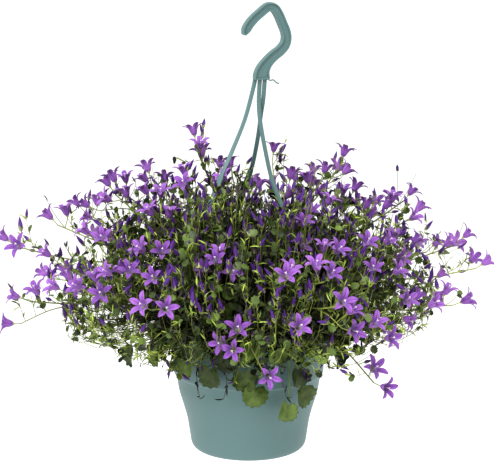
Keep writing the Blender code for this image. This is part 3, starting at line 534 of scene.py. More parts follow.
class Room:
    """What is placed so far, as small balls that each have an owner.

    The next piece is set clear of the balls of every other owner.
    """

    def __init__(self):
        self.centres = np.empty((0, 3))
        self.radii = np.empty(0)
        self.owners = np.empty(0, int)

    def clear(self, balls, owner, margin=0.7 * MM):
        others = self.owners != owner
        centres = np.array([tuple(centre) for centre, _ in balls])
        radii = np.array([radius for _, radius in balls])
        apart = np.linalg.norm(centres[:, None] - self.centres[others][None], axis=2)
        return bool((apart > radii[:, None] + self.radii[others][None] + margin).all())

    def add(self, balls, owner):
        self.centres = np.vstack([self.centres, [tuple(centre) for centre, _ in balls]])
        self.radii = np.append(self.radii, [radius for _, radius in balls])
        self.owners = np.append(self.owners, [owner] * len(balls))


def balls_along(line, radius, spacing=3 * MM):
    """Balls every few millimetres along a line of points."""
    balls = []
    for start, end in zip(line, line[1:]):
        count = max(1, math.ceil((end - start).length / spacing))
        balls += [(start.lerp(end, step / count), radius) for step in range(count)]
    return balls + [(line[-1], radius)]


def bloom_balls(bloom):
    """The pedicel, the tube and the five lobes of a bell."""
    root, base, axis, size, roll = bloom
    turn = frame_on(axis, roll)
    balls = balls_along((root, base), 1.2 * MM)
    balls += [(base + axis * (share * BELL_LENGTH * size), radius * MM)
              for share, radius in ((0.3, 3.4), (0.65, 5.2))]
    for lobe in range(5):
        angle = lobe * math.tau / 5
        out = turn @ Vector((math.cos(angle), math.sin(angle), 0))
        for share, radius, height in ((0.4, 4.2, 0.7), (0.7, 3.2, 0.85), (0.95, 1.4, 0.95)):
            centre = base + (out * BELL_RADIUS * share + axis * BELL_LENGTH * height) * size
            balls.append((centre, radius * size * MM))
    return balls


def blade_balls(blade):
    """Balls over a leaf's blade."""
    base, along, normal, length = blade
    side = normal.cross(along)
    middle = base + along * 0.45 * length
    balls = [(middle, 0.17 * length)]
    for spot in range(8):
        angle = spot * math.tau / 8
        out = along * math.cos(angle) + side * math.sin(angle)
        balls.append((middle + out * 0.34 * length, 0.17 * length))
    return balls


def smooth_line(start, start_pull, end_pull, end, count):
    """Points on a Bezier curve, after its start."""
    line = []
    for step in range(1, count + 1):
        t = step / count
        line.append(start * (1 - t) ** 3 + start_pull * 3 * t * (1 - t) ** 2
                    + end_pull * 3 * t * t * (1 - t) + end * t ** 3)
    return line


def core_point(direction):
    """Where a ray from the core's middle leaves the core."""
    flat = math.hypot(direction.x, direction.y) / CORE_RADIUS
    return CORE_CENTRE + direction / math.hypot(flat, direction.z / CORE_HEIGHT)


def socket_directions(heads):
    """One direction out of the core for each spray, near its head's.

    They are pushed apart so that the holes stay clear of each other.
    """
    directions = []
    for head in heads:
        aim = head - CORE_CENTRE
        rise = math.atan2(aim.z, math.hypot(aim.x, aim.y))
        turn = math.atan2(aim.y, aim.x)
        rise = math.radians(16) + max(0.0, rise + math.radians(12)) * 0.80
        flat = math.cos(rise)
        directions.append([flat * math.cos(turn), flat * math.sin(turn), math.sin(rise)])
    directions = np.array(directions)
    for _ in range(160):
        apart = directions[:, None] - directions[None]
        distance = np.linalg.norm(apart, axis=2) + np.eye(len(heads))
        push = np.clip(0.27 - distance, 0, None) * (1 - np.eye(len(heads)))
        directions += 0.3 * (apart / distance[..., None] * push[..., None]).sum(axis=1)
        directions[:, 2] = np.clip(directions[:, 2], 0.24, None)
        directions /= np.linalg.norm(directions, axis=1)[:, None]
    return [Vector(direction) for direction in directions]


def back_heads(rng):
    """Heads over the back half of the mound."""
    heads = []
    for index in range(BACK_SPRAYS):
        share = (index + 0.5) / BACK_SPRAYS
        turn = math.radians(12) + math.radians(156) * ((index * 0.618034 + 0.31) % 1.0)
        rise = math.radians(4 + 56 * share ** 1.15)
        reach = rng.uniform(0.90, 1.04)
        out = Vector((math.cos(turn) * math.cos(rise) * BACK_REACH[1],
                      math.sin(turn) * math.cos(rise) * BACK_REACH[0],
                      math.sin(rise) * BACK_REACH[2]))
        place = CORE_CENTRE + out * reach
        heads.append((place.x / MM, place.y / MM, place.z / MM + 12, BACK_BLOOMS))
    return heads


def stem_line(socket, head, room, owner, rng):
    """A stem from the bottom of its hole, straight out of the core and in one bend to its head."""
    surface = core_point(socket)
    root = surface - socket * (SOCKET_DEPTH - GAP)
    leave = surface + socket * 5 * MM
    span = (head - leave).length
    finish = ((head - leave) / span + UP * (0.30 if head.z > leave.z else -0.25)).normalized()
    for attempt in range(PLACE_TRIES):
        swing = 0.010 * attempt / 4
        stray = Vector([rng.uniform(-swing, swing) for _ in range(3)])
        pulls = leave + socket * 0.36 * span + stray, head - finish * 0.30 * span - stray * 0.6
        line = [root, leave] + smooth_line(leave, pulls[0], pulls[1], head, 3)
        if room.clear(balls_along(line, 1.9 * MM), owner):
            return line
    return None


def branch_line(line, head, room, owner, rng):
    """A side branch from the middle of a stem to its own head."""
    start = line[3]
    span = (head - start).length
    for attempt in range(PLACE_TRIES):
        swing = 0.008 * attempt / 4
        stray = Vector([rng.uniform(-swing, swing) for _ in range(3)])
        middle = start.lerp(head, 0.5) + UP * 0.06 * span + stray
        branch = [start, middle, head]
        if room.clear(balls_along(branch, 1.5 * MM), owner):
            return branch
    return None


def place_on(line, back):
    """The point that lies back from the line's end, and the line's direction there."""
    for end, start in zip(reversed(line), reversed(line[:-1])):
        length = (end - start).length
        if back <= length:
            return end.lerp(start, back / length), (end - start).normalized()
        back -= length
    return line[0], (line[1] - line[0]).normalized()


def outward(place):
    return (place - Vector((0, 0, 175 * MM))).normalized()


def best_bloom(line, back, mouths, room, owner, rng):
    """The bell that stands best apart from the others, of those that are clear of what is placed."""
    root, along = place_on(line, back)
    best = None
    for _ in range(PLACE_TRIES):
        turn = frame_on(along, rng.uniform(0, math.tau))
        lean = rng.uniform(0.1, 0.5) if back == 0 else rng.uniform(0.7, 1.5)
        lead = (turn @ Vector((math.sin(lean), 0, math.cos(lean)))).normalized()
        base = root + lead * rng.uniform(9, 17) * MM
        axis = (lead * 0.8 + outward(base) * 0.55 + UP * 0.22).normalized()
        size = rng.uniform(0.90, 1.05)
        bloom = (root, base, axis, size, rng.uniform(0, math.tau))
        mouth = base + axis * BELL_LENGTH
        if lead.dot(axis) < 0.45:
            continue
        nearest = min([(mouth - other).length for other in mouths] + [40 * MM])
        score = min(nearest, 30 * MM) / MM + 7 * lead.dot(outward(root)) + 4 * lead.z
        if nearest <= MOUTHS_APART or (best and score <= best[0]):
            continue
        if room.clear(bloom_balls(bloom), owner):
            best = (score, bloom, mouth)
    return best


def best_bud(line, back, room, owner, rng):
    """A bud that stands up from the stem, clear of all that is placed or at least of the other sprays."""
    root, along = place_on(line, back)
    for _ in range(PLACE_TRIES):
        turn = frame_on(along, rng.uniform(0, math.tau))
        lean = rng.uniform(0.5, 1.1)
        lead = (turn @ Vector((math.sin(lean), 0, math.cos(lean))) + UP * 0.35).normalized()
        tip = root + lead * (BUD_LENGTH + rng.uniform(2, 7) * MM)
        balls = balls_along((root + lead * 5 * MM, tip), 2.4 * MM)
        if room.clear(balls, None) or room.clear(balls_along((root, tip), 2.4 * MM), owner):
            return (root, tip), balls
    return None


def best_leaf(line, back, room, owner, rng):
    """A small leaf on a stem."""
    root, along = place_on(line, back)
    for _ in range(PLACE_TRIES):
        turn = frame_on(along, rng.uniform(0, math.tau))
        out = (turn @ Vector((1.0, 0, 0.5))).normalized()
        normal = (out.cross(along).cross(out) + UP * 0.4)
        normal = (normal - out * normal.dot(out)).normalized()
        blade = (root + out * 1.5 * MM, out, normal, rng.uniform(*SMALL_LEAF_LENGTH))
        if room.clear(blade_balls(blade), owner):
            return [root, blade[0]], blade
    return None


def plan_sprays(room):
    """The lines, bells, buds and leaves of every spray, front and back."""
    rng = random.Random(SEED)
    plans = [list(heads) for heads in FRONT_SPRAYS] + [[head] for head in back_heads(rng)]
    sockets = socket_directions([point(heads[0]) for heads in plans])
    sprays = []
    for owner, (heads, socket) in enumerate(zip(plans, sockets)):
        line = stem_line(socket, point(heads[0]), room, owner, rng)
        if line is None:
            raise RuntimeError(f"no clear way for the stem of spray {owner + 1}")
        lines = [line]
        room.add(balls_along(line, 1.6 * MM), owner)
        for head in heads[1:]:
            branch = branch_line(line, point(head), room, owner, rng)
            if branch:
                lines.append(branch)
                room.add(balls_along(branch, 1.3 * MM), owner)
        sprays.append({"socket": socket, "lines": lines, "endings": [None] * len(lines),
                       "blooms": [], "buds": [], "leaves": []})
    mouths = []
    for place in range(max(head[3] for heads in plans for head in heads)):
        for owner, (heads, spray) in enumerate(zip(plans, sprays)):
            for index, (head, line) in enumerate(zip(heads, spray["lines"])):
                if place >= head[3]:
                    continue
                found = best_bloom(line, place * BLOOM_SPACING, mouths, room, owner, rng)
                if not found:
                    continue
                if place == 0:
                    spray["endings"][index] = found[1]
                else:
                    spray["blooms"].append(found[1])
                mouths.append(found[2])
                room.add(bloom_balls(found[1]), owner)
    for owner, spray in enumerate(sprays):
        line = spray["lines"][0]
        found = best_bud(line, BUD_PLACE, room, owner, rng)
        if found:
            spray["buds"].append(found[0])
            room.add(found[1], owner)
        if owner % 2:
            continue
        reach = sum((end - start).length for start, end in zip(line[1:], line[2:]))
        found = best_leaf(line, reach * rng.uniform(0.45, 0.62), room, owner, rng)
        if found:
            spray["leaves"].append(found)
            room.add(blade_balls(found[1]), owner)
    return sprays


def plan_crown(room, owner):
    """Stalk line and blade of every leaf that stands out of the core, those over the rim first."""
    rng = random.Random(SEED + 1)
    leaves = []
    hanging = [point(place) for place in RIM_LEAVES]
    for index in range(BACK_RIM_LEAVES):
        turn = math.radians(8 + 164 * index / (BACK_RIM_LEAVES - 1))
        radius = 104 * MM + rng.uniform(0, 14) * MM
        height = rng.uniform(*RIM_LEAF_HEIGHTS)
        hanging.append(Vector((radius * math.cos(turn), radius * math.sin(turn), height)))
    for middle in hanging:
        flat = Vector((middle.x, middle.y, 0)).normalized()
        for attempt in range(PLACE_TRIES):
            length = rng.uniform(*RIM_LEAF_LENGTH)
            sway = rng.uniform(-0.45, 0.45)
            side = UP.cross(flat)
            along = (-UP + side * sway + flat * rng.uniform(0.05, 0.30)).normalized()
            normal = (flat - along * flat.dot(along)).normalized()
            base = middle - along * 0.45 * length
            base += (flat * rng.uniform(0, 9) + side * rng.uniform(-3, 3)) * MM * attempt / RIM_TRIES
            over = flat * rng.uniform(98, 103) * MM + UP * max(158 * MM, base.z + 4 * MM)
            over += side * rng.uniform(-9, 9) * MM
            root_direction = Vector((over.x, over.y, 26 * MM)).normalized()
            root = core_point(root_direction) - root_direction * ROOT_DEPTH
            stalk = [root, over, base + along * 0.35 * length]
            blade = (base, along, normal, length)
            if room.clear(balls_along(stalk[:2] + [base], 1.3 * MM) + blade_balls(blade), owner):
                leaves.append((stalk, blade))
                room.add(balls_along(stalk, 1.1 * MM) + blade_balls(blade), owner)
                break
    middles = [stalk[-1] for stalk, _ in leaves]
    for index in range(CROWN_LEAVES):
        share = (index + 0.5) / CROWN_LEAVES
        for attempt in range(RIM_TRIES):
            turn = index * GOLDEN_ANGLE + rng.uniform(-0.25, 0.25)
            rise = math.asin(min(0.97, 0.10 + 0.85 * share)) + rng.uniform(-0.1, 0.1)
            out = Vector((math.cos(turn), math.sin(turn), 0)) * math.cos(rise) + UP * math.sin(rise)
            length = rng.uniform(*LEAF_LENGTH)
            reach = rng.uniform(0.112, 0.170) * (1.0 - 0.22 * math.sin(rise))
            middle = CORE_CENTRE + out * reach
            stray = Vector([rng.uniform(-0.5, 0.5) for _ in range(3)])
            along = (out * 0.75 - UP * 0.25 + stray).normalized()
            normal = (UP * 0.7 + out * 0.8)
            normal = (normal - along * normal.dot(along)).normalized()
            base = middle - along * 0.45 * length
            root_direction = (out + Vector([rng.uniform(-0.2, 0.2) for _ in range(3)])).normalized()
            root_direction = (root_direction + UP * 0.12).normalized()
            root = core_point(root_direction) - root_direction * ROOT_DEPTH
            stalk = [root, root.lerp(base, 0.55) + UP * 5 * MM, base + along * 0.35 * length]
            blade = (base, along, normal, length)
            if min((middle - other).length for other in middles) < LEAVES_APART:
                continue
            if room.clear(balls_along(stalk, 1.3 * MM) + blade_balls(blade), owner):
                leaves.append((stalk, blade))
                middles.append(middle)
                room.add(balls_along(stalk, 1.1 * MM) + blade_balls(blade), owner)
                break
    return leaves


def furniture_room():
    """The pot's wall and the hanger's straps, as balls."""
    room = Room()
    circles = [(radius * MM, height * MM) for radius, height in POT_OUTSIDE[:7]]
    circles += [(BAND_RADIUS, height) for height in BAND_HEIGHTS]
    for radius, height in circles:
        for step in range(WALL_BALLS_ROUND):
            angle = step * math.tau / WALL_BALLS_ROUND
            place = Vector((radius * math.cos(angle), radius * math.sin(angle), height))
            room.add([(place, WALL_BALL)], -1)
    for strap, angle in zip(STRAPS, LUG_ANGLES):
        room.add(balls_along(strap_line(strap, angle), STRAP_BALL), -2)
    for angle in LUG_ANGLES:
        for share in (-1, -0.5, 0, 0.5, 1):
            turn = math.radians(angle)
            place = Vector((math.cos(turn), math.sin(turn), 0)) * LUG_RADIUS
            place += Vector((-math.sin(turn), math.cos(turn), 0)) * share * LUG_SIZE[1] / 2
            room.add([(place + UP * (LUG_TOP - 2 * MM), LUG_BALL)], -1)
    return room


def new_collection(name):
    collection = bpy.data.collections.new(name)
    bpy.context.scene.collection.children.link(collection)
    return collection


def as_mesh(bm, name, material_index=0):
    """A mesh from a bmesh, whose faces all point out."""
    bmesh.ops.recalc_face_normals(bm, faces=bm.faces)
    if bm.calc_volume(signed=True) < 0:
        bmesh.ops.reverse_faces(bm, faces=bm.faces)
    for face in bm.faces:
        face.material_index = material_index
    mesh = bpy.data.meshes.new(name)
    bm.to_mesh(mesh)
    bm.free()
    return mesh


def tube_mesh(name, line, radius):
    """A closed tube along a line of points, from a curve with a bevel and filled caps."""
    curve = bpy.data.curves.new(name, "CURVE")
    curve.dimensions = "3D"
    curve.bevel_depth = radius
    curve.bevel_resolution = 0
    curve.use_fill_caps = True
    spline = curve.splines.new("POLY")
    spline.points.add(len(line) - 1)
    for spot, place in zip(spline.points, line):
        spot.co = (*place, 1)
    return mesh_of_curve(name, curve)


def mesh_of_curve(name, curve):
    """The curve's mesh with its caps welded on. The curve is removed."""
    obj = bpy.data.objects.new(name, curve)
    bpy.context.scene.collection.objects.link(obj)
    mesh = evaluated_mesh(obj)
    bpy.data.curves.remove(curve)
    bm = bmesh.new()
    bm.from_mesh(mesh)
    bmesh.ops.remove_doubles(bm, verts=bm.verts, dist=0.01 * MM)
    bpy.data.meshes.remove(mesh)
    return as_mesh(bm, name)


def evaluated_mesh(obj):
    bpy.context.view_layer.update()
    return bpy.data.meshes.new_from_object(obj.evaluated_get(bpy.context.evaluated_depsgraph_get()))


def combine(obj, meshes, operation, solver="MANIFOLD"):
    """Applies one Boolean of all the meshes to the object, and removes them."""
    helpers = new_collection("boolean_helpers")
    for mesh in meshes:
        helpers.objects.link(bpy.data.objects.new("helper", mesh))
    boolean = obj.modifiers.new("combine", "BOOLEAN")
    boolean.operation = operation
    boolean.operand_type = "COLLECTION"
    boolean.collection = helpers
    boolean.solver = solver
    old = obj.data
    obj.data = evaluated_mesh(obj)
    obj.modifiers.clear()
    bpy.data.meshes.remove(old)
    for helper in list(helpers.objects):
        bpy.data.meshes.remove(helper.data)
    bpy.data.collections.remove(helpers)


def inner_wall():
    """The pot's inside as (radius, height), from the floor up to the rim."""
    wall = [(radius * MM - POT_WALL, height * MM)
            for radius, height in POT_OUTSIDE if height in POT_INSIDE_HEIGHTS]
    return [(66 * MM, POT_FLOOR)] + wall[::-1]


def box_mesh(size, place, turn):
    """A plain block, turned about the upright."""
    bm = bmesh.new()
    bmesh.ops.create_cube(bm, size=1.0)
    bmesh.ops.scale(bm, vec=size, verts=bm.verts)
    bmesh.ops.rotate(bm, matrix=Matrix.Rotation(turn, 3, "Z"), verts=bm.verts)
    bmesh.ops.translate(bm, vec=place, verts=bm.verts)
    return as_mesh(bm, "box")


def peg_mesh(start, end, radius, sides):
    """A plain round peg between two points."""
    bm = bmesh.new()
    length = (end - start).length
    bmesh.ops.create_cone(bm, cap_ends=True, segments=sides, radius1=radius, radius2=radius, depth=length)
    turn = frame_on((end - start).normalized())
    bmesh.ops.rotate(bm, matrix=turn, verts=bm.verts)
    bmesh.ops.translate(bm, vec=(start + end) / 2, verts=bm.verts)
    return as_mesh(bm, "peg")


def plate_mesh(outline, middle, thickness):
    """A flat outline, made a plate of the given thickness whose middle lies that far from the hook's plane."""
    curve = bpy.data.curves.new("plate", "CURVE")
    curve.dimensions = "2D"
    curve.fill_mode = "BOTH"
    curve.extrude = thickness / 2
    spline = curve.splines.new("POLY")
    spline.points.add(len(outline) - 1)
    for spot, place in zip(spline.points, outline):
        spot.co = (place.x, place.y, 0, 1)
    spline.use_cyclic_u = True
    mesh = mesh_of_curve("plate", curve)
    place = Matrix.Translation((HOOK_AXIS_X, 0, 0)) @ Matrix.Rotation(HOOK_TURN, 4, "Z")
    upright = Matrix.Rotation(math.radians(90), 4, "X")
    mesh.transform(place @ Matrix.Translation((0, middle, 0)) @ upright)
    return mesh


def strap_line(strap, degrees):
    """A strap's line, from the hook's base down into the slot of its lug."""
    angle = math.radians(degrees)
    out = Vector((math.cos(angle), math.sin(angle), 0)) * LUG_RADIUS
    low = LUG_TOP - LUG_SIZE[2] - GAP
    return [point(place) for place in strap] + [out + UP * 152 * MM, out + UP * low]


# Meshes


class Pile:
    """Many small copies gathered into one mesh. Each point carries marks that the material reads."""

    def __init__(self, *marks):
        self.points = []
        self.faces = []
        self.marks = {mark: [] for mark in marks}
        self.count = 0

    def add(self, points, faces, **marks):
        """Adds copies. points is (copies, points of one, 3); faces index one copy; marks broadcast to its points."""
        points = np.asarray(points, float)
        if points.ndim == 2:
            points = points[None]
        copies, each = points.shape[:2]
        steps = self.count + np.arange(copies) * each
        self.faces += (np.asarray(faces)[None] + steps[:, None, None]).reshape(-1, np.shape(faces)[1]).tolist()
        self.points.append(points.reshape(-1, 3))
        for mark, values in self.marks.items():
            values.append(np.broadcast_to(marks[mark], (copies, each)).reshape(-1))
        self.count += copies * each

    def make(self, name, slot, *materials):
        """The mesh object, shaded smooth, which rides on the pot's body."""
        mesh = bpy.data.meshes.new(name)
        mesh.from_pydata(np.concatenate(self.points).tolist(), [], self.faces)
        for mark, values in self.marks.items():
            layer = mesh.attributes.new(mark, "FLOAT", "POINT")
            layer.data.foreach_set("value", np.concatenate(values).astype(np.float32))
        return dressed(name, mesh, slot, *materials)


def dressed(name, mesh, slot, *materials):
    """An object in the scene with its materials and its body. The slot is not used."""
    for finish in materials:
        mesh.materials.append(finish)
    mesh.shade_smooth()
    obj = bpy.data.objects.new(name, mesh)
    bpy.context.scene.collection.objects.link(obj)
    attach(obj, "root")
    return obj


def grid_faces(rows, columns):
    """Quads over a grid of points that runs row by row."""
    corner = np.arange(rows - 1)[:, None] * columns + np.arange(columns - 1)[None]
    corner = corner.reshape(-1)
    return np.stack([corner, corner + 1, corner + columns + 1, corner + columns], axis=1)


def tube_faces(rows, sides):
    """Quads round a tube whose rings run row by row."""
    corner = (np.arange(rows - 1)[:, None] * sides + np.arange(sides)[None]).reshape(-1)
    after = (np.arange(rows - 1)[:, None] * sides + (np.arange(sides) + 1)[None] % sides).reshape(-1)
    return np.stack([corner, after, after + sides, corner + sides], axis=1)


def unit(vectors):
    """Vectors at a length of one."""
    vectors = np.asarray(vectors, float)
    return vectors / (np.linalg.norm(vectors, axis=-1, keepdims=True) + 1e-12)


def tube_points(line, radii, sides):
    """Rings of points along a line, carried on from ring to ring without a twist."""
    line = np.asarray(line, float)
    ways = unit(np.gradient(line, axis=0))
    across = unit(np.cross(ways[0], (0.31, 0.2, 0.93) if abs(ways[0][2]) < 0.9 else (1.0, 0, 0)))
    angles = np.arange(sides) * math.tau / sides
    rings = []
    for spot, way, radius in zip(line, ways, radii):
        across = unit(across - way * np.dot(across, way))
        deep = np.cross(way, across)
        rings.append(spot + radius * (np.cos(angles)[:, None] * across + np.sin(angles)[:, None] * deep))
    return np.concatenate(rings)


def add_tube(pile, line, radii, sides, tone):
    """A stem or twig along a line of points."""
    reach = np.repeat(np.linspace(0, 1, len(line)), sides)
    pile.add(tube_points(line, radii, sides), tube_faces(len(line), sides), tone=tone, reach=reach)


def bent_line(start, start_pull, end_pull, end, count):
    """Points on a Bezier curve, its start included."""
    share = np.linspace(0, 1, count)[:, None]
    start, start_pull, end_pull, end = (np.asarray(spot, float) for spot in (start, start_pull, end_pull, end))
    return (start * (1 - share) ** 3 + start_pull * 3 * share * (1 - share) ** 2
            + end_pull * 3 * share ** 2 * (1 - share) + end * share ** 3)


def rounded_line(points, each):
    """A smooth line through all the points, with this many steps from one to the next."""
    points = np.asarray(points, float)
    before = np.vstack([2 * points[0] - points[1], points[:-1]])
    after = np.vstack([points[1:], 2 * points[-1] - points[-2]])
    pulls = (after - before) / 6
    parts = [bent_line(points[i], points[i] + pulls[i], points[i + 1] - pulls[i + 1], points[i + 1], each + 1)[:-1]
             for i in range(len(points) - 1)]
    return np.vstack(parts + [points[-1:]])


def frames_of(along, normal):
    """Rotations whose columns are across, along and normal, for many blades at once."""
    along = unit(along)
    normal = unit(normal - along * (normal * along).sum(-1, keepdims=True))
    return np.stack([np.cross(along, normal), along, normal], axis=-1)


def placed(template, frames, bases, sizes):
    """Copies of a template, each scaled along its own axes, turned and moved: (copies, points, 3)."""
    return np.einsum("cij,cpj->cpi", frames, template[None] * sizes[:, None]) + bases[:, None]


# The plant's small shapes, one unit long along Y


def narrow_leaf():
    """A lance-shaped leaf with a folded midrib, drooping at its tip: points, faces, reach along it and side."""
    rows, columns = 4, 3
    share = np.linspace(0, 1, rows)
    half = 0.5 * np.array([0.22, 1.0, 0.9, 0.02])
    side = np.array([-1.0, 0.0, 1.0])
    points = np.zeros((rows, columns, 3))
    points[..., 0] = half[:, None] * side[None]
    points[..., 1] = share[:, None]
    points[..., 2] = 0.10 * np.abs(side)[None] * half[:, None] * 2 - 0.22 * (share ** 2)[:, None]
    return points.reshape(-1, 3), grid_faces(rows, columns), np.repeat(share, columns), np.tile(side, rows)


def small_round_leaf(teeth=9):
    """A small round leaf with a toothed edge and a shallow cup, on a short stalk."""
    angles = np.linspace(-math.pi * 0.93, math.pi * 0.93, 2 * teeth + 1)
    reach = 0.5 * (1 + 0.10 * np.where(np.arange(2 * teeth + 1) % 2, 1, -1)) * (1 + 0.12 * np.cos(angles))
    rim = np.stack([np.sin(angles) * reach, 0.52 + np.cos(angles) * reach, 0.09 * np.abs(np.sin(angles))], axis=1)
    rim[:, 2] -= 0.10 * np.maximum(np.cos(angles), 0) ** 2
    middle = np.array([[0, 0.5, 0.0]])
    foot = np.array([[-0.02, 0, 0.0], [0.02, 0, 0.0]])
    points = np.vstack([middle, rim, foot])
    last = 2 * teeth + 1
    faces = [(0, index, index + 1) for index in range(1, last)] + [(0, last, last + 2), (0, last + 2, last + 1),
                                                                  (0, last + 1, 1)]
    return points, np.array(faces), np.clip(points[:, 1], 0, 1), np.clip(points[:, 0] * 2, -1, 1)


def heart_leaf(rng, teeth=13, rings=(0.0, 0.22, 0.45, 0.68, 0.86, 1.0)):
    """A heart-shaped leaf with coarse teeth, sunken veins and a waved edge: points, faces, reach and vein."""
    count = teeth * 4 + 1
    angles = np.linspace(-math.pi, math.pi, count)
    turn = np.abs(angles) / math.pi
    outline = 0.50 + 0.06 * np.cos(angles) + 0.05 * np.exp(-((turn - 0.72) / 0.16) ** 2)
    outline *= 1 - 0.52 * np.clip((turn - 0.84) / 0.16, 0, 1) ** 1.6
    tooth = np.abs(((angles * teeth / math.tau) % 1) - 0.5) * 2
    wave_start, wave = rng.uniform(0, math.tau), rng.uniform(0.6, 1.3)
    points = []
    veins = []
    for ring in rings:
        reach = ring * outline * (1 - 0.13 * tooth * ring ** 3)
        across = np.sin(angles) * reach
        along = 0.44 + np.cos(angles) * reach
        height = 0.7 * wave * across ** 2 + 0.42 * ring * np.abs(across) - 0.30 * np.maximum(along - 0.4, 0) ** 2
        height += 0.085 * wave * ring ** 2 * np.sin(angles * 3 + wave_start)
        spread = np.minimum(np.abs(((np.abs(angles) + 0.45) % 0.9) - 0.45), np.abs(angles))
        vein = np.exp(-(spread * ring / 0.045) ** 2) * (1 - 0.6 * ring)
        points.append(np.stack([across, along, height - 0.012 * vein], axis=1))
        veins.append(vein)
    points = np.concatenate(points)
    return points, grid_faces(len(rings), count), np.repeat(rings, count), np.concatenate(veins)


# One lobe of a bell, row by row from the base to the tip: the share of its length, the distance from the axis,
# the height, half the width and the fold at its edges, in mm
BELL_STEPS = (0.0, 0.10, 0.26, 0.42, 0.52, 0.62, 0.74, 0.86, 0.95, 1.0)
BELL_REACH = (1.5, 3.0, 4.0, 4.9, 5.9, 7.3, 9.4, 11.7, 13.4, 14.3)
BELL_RISE = (0.0, 1.5, 4.4, 7.2, 8.8, 10.0, 11.0, 11.5, 11.4, 11.0)
LOBE_HALF = (0.9, 1.76, 2.35, 2.86, 3.12, 3.25, 2.95, 1.95, 0.85, 0.05)
LOBE_FOLD = (0.0, 0.0, 0.0, 0.10, 0.45, 0.85, 0.95, 0.70, 0.35, 0.0)
LOBES = 5
LOBE_COLUMNS = 7
LINED_ROWS = 6


def bell_points(rng, opening):
    """The five lobes of a bell in mm round Z: (lobes, rows, columns, 3). An opening of 1 is fully flared."""
    side = np.linspace(-1, 1, LOBE_COLUMNS)
    reach, rise, half, fold = (np.array(values) for values in (BELL_REACH, BELL_RISE, LOBE_HALF, LOBE_FOLD))
    lobes = []
    for lobe in range(LOBES):
        own = opening * rng.uniform(0.93, 1.05)
        flare = np.clip((reach - 4.9) / 9.4, 0, 1)
        out = reach - (1 - own) * 9.0 * flare ** 1.1
        up = rise + (1 - own) * 8.5 * flare
        curl = rng.uniform(-0.6, 1.1) * flare ** 2
        swing = rng.uniform(-0.5, 0.5) * flare ** 2
        bulge = np.where(np.arange(len(reach)) < 4, 0.19 * reach, 0.19 * 4.9 * (1 - flare * 1.1))
        across = half[:, None] * side[None] + swing[:, None]
        outward = out[:, None] - np.clip(bulge, 0, None)[:, None] * side[None] ** 2
        upward = (up - curl)[:, None] + fold[:, None] * (np.abs(side) ** 1.3)[None]
        upward = upward + 0.14 * np.sin(side * 5 + rng.uniform(0, 6))[None] * flare[:, None]
        angle = lobe * math.tau / LOBES
        lobes.append(np.stack([outward * math.cos(angle) - across * math.sin(angle),
                               outward * math.sin(angle) + across * math.cos(angle), upward], axis=-1))
    return np.array(lobes)


def bud_shape(sides=10):
    """A closed bud one unit long along Z and one unit in radius, with five pleats: points, faces, reach and pleat."""
    share = np.array([0.0, 0.14, 0.45, 0.74, 1.0])
    radius = np.array([0.50, 0.88, 1.0, 0.60, 0.05])
    corner = np.arange(sides)
    angles = corner * math.tau / sides + 0.5 * share[:, None]
    pleat = np.where(corner % 2, 1.0, 0.0)
    reach = radius[:, None] * (1 - 0.20 * pleat[None] * np.minimum(1, share * 3)[:, None])
    points = np.stack([np.cos(angles) * reach, np.sin(angles) * reach,
                       np.broadcast_to(share[:, None], angles.shape)], axis=-1)
    return points.reshape(-1, 3), tube_faces(len(share), sides), np.repeat(share, sides), np.tile(pleat, len(share))


def sepal_ring(spread, length, width):
    """Five narrow sepals round Z, which start at the origin's ring and spread outwards, in mm."""
    share = np.array([0.0, 0.45, 1.0])
    half = np.array([0.5, 0.42, 0.03]) * width
    out = 0.9 + np.array([0.0, 0.8, 0.85 + spread]) * length * 0.35
    rise = np.array([0.0, 0.42, 0.92 - 0.5 * spread]) * length
    sepals = []
    for lobe in range(5):
        angle = (lobe + 0.5) * math.tau / 5
        away = np.array([math.cos(angle), math.sin(angle), 0])
        sideways = np.array([-math.sin(angle), math.cos(angle), 0])
        middle = away * out[:, None] + np.array([0, 0, 1.0]) * rise[:, None]
        sepals.append(np.stack([middle - sideways * half[:, None], middle + sideways * half[:, None]], axis=1))
    points = np.array(sepals).reshape(5, 6, 3)
    return points, grid_faces(3, 2), np.repeat(share, 2)


# The made pieces


# The pot's wall under its step, as (radius, height) in mm, down to the foot. It follows the photo's outline
# and is up to 2.7 mm wider in radius than the solid pot's
FINE_WALL = ((91.0, 94.6), (89.4, 88.0), (86.8, 73.0), (81.8, 56.0), (77.2, 39.0), (73.9, 18.0), (72.2, 7.5),
             (69.0, 2.2), (63.5, 0.0))


def pot_profile(bead):
    """The pot's closed half section as (radius, height) in mm: outside from the lip down, then inside back up."""
    band = [(95.3, 143.5), (95.0, 132.0), (94.5, 115.0), (93.95, 99.4), (93.7, 98.4), (93.1, 97.6), (91.9, 96.7),
            (91.35, 95.9)]
    curved = rounded_line([(91.35, 95.9), *FINE_WALL], 4)[1:]
    outside = band + [tuple(place) for place in curved]
    inside = [(62.0, 2.2), (68.5, 3.4), (70.6, 8.0)]
    inside += [(radius - 1.9, height) for radius, height in outside[::-1] if 17 < height < 94]
    inside += [(91.2, 97.5), (91.9, 101.0), (92.6, 120.0), (93.3, 143.0)]
    lip = []
    for step in range(9):
        angle = math.radians(205 - step * 29)
        lip.append((94.5 + bead * math.cos(angle), 146.9 + bead * math.sin(angle)))
    return outside, inside, lip


def spun(section, steps):
    """A shape turned about the pot's axis from its half section as (radius, height)."""
    bm = bmesh.new()
    verts = [bm.verts.new((radius, 0, height)) for radius, height in section]
    edges = [bm.edges.new(pair) for pair in zip(verts, verts[1:])]
    bmesh.ops.spin(bm, geom=verts + edges, cent=(0, 0, 0), axis=(0, 0, 1), dvec=(0, 0, 0), angle=math.tau,
                   steps=steps, use_merge=True)
    bmesh.ops.remove_doubles(bm, verts=bm.verts, dist=0.001 * MM)
    return bm


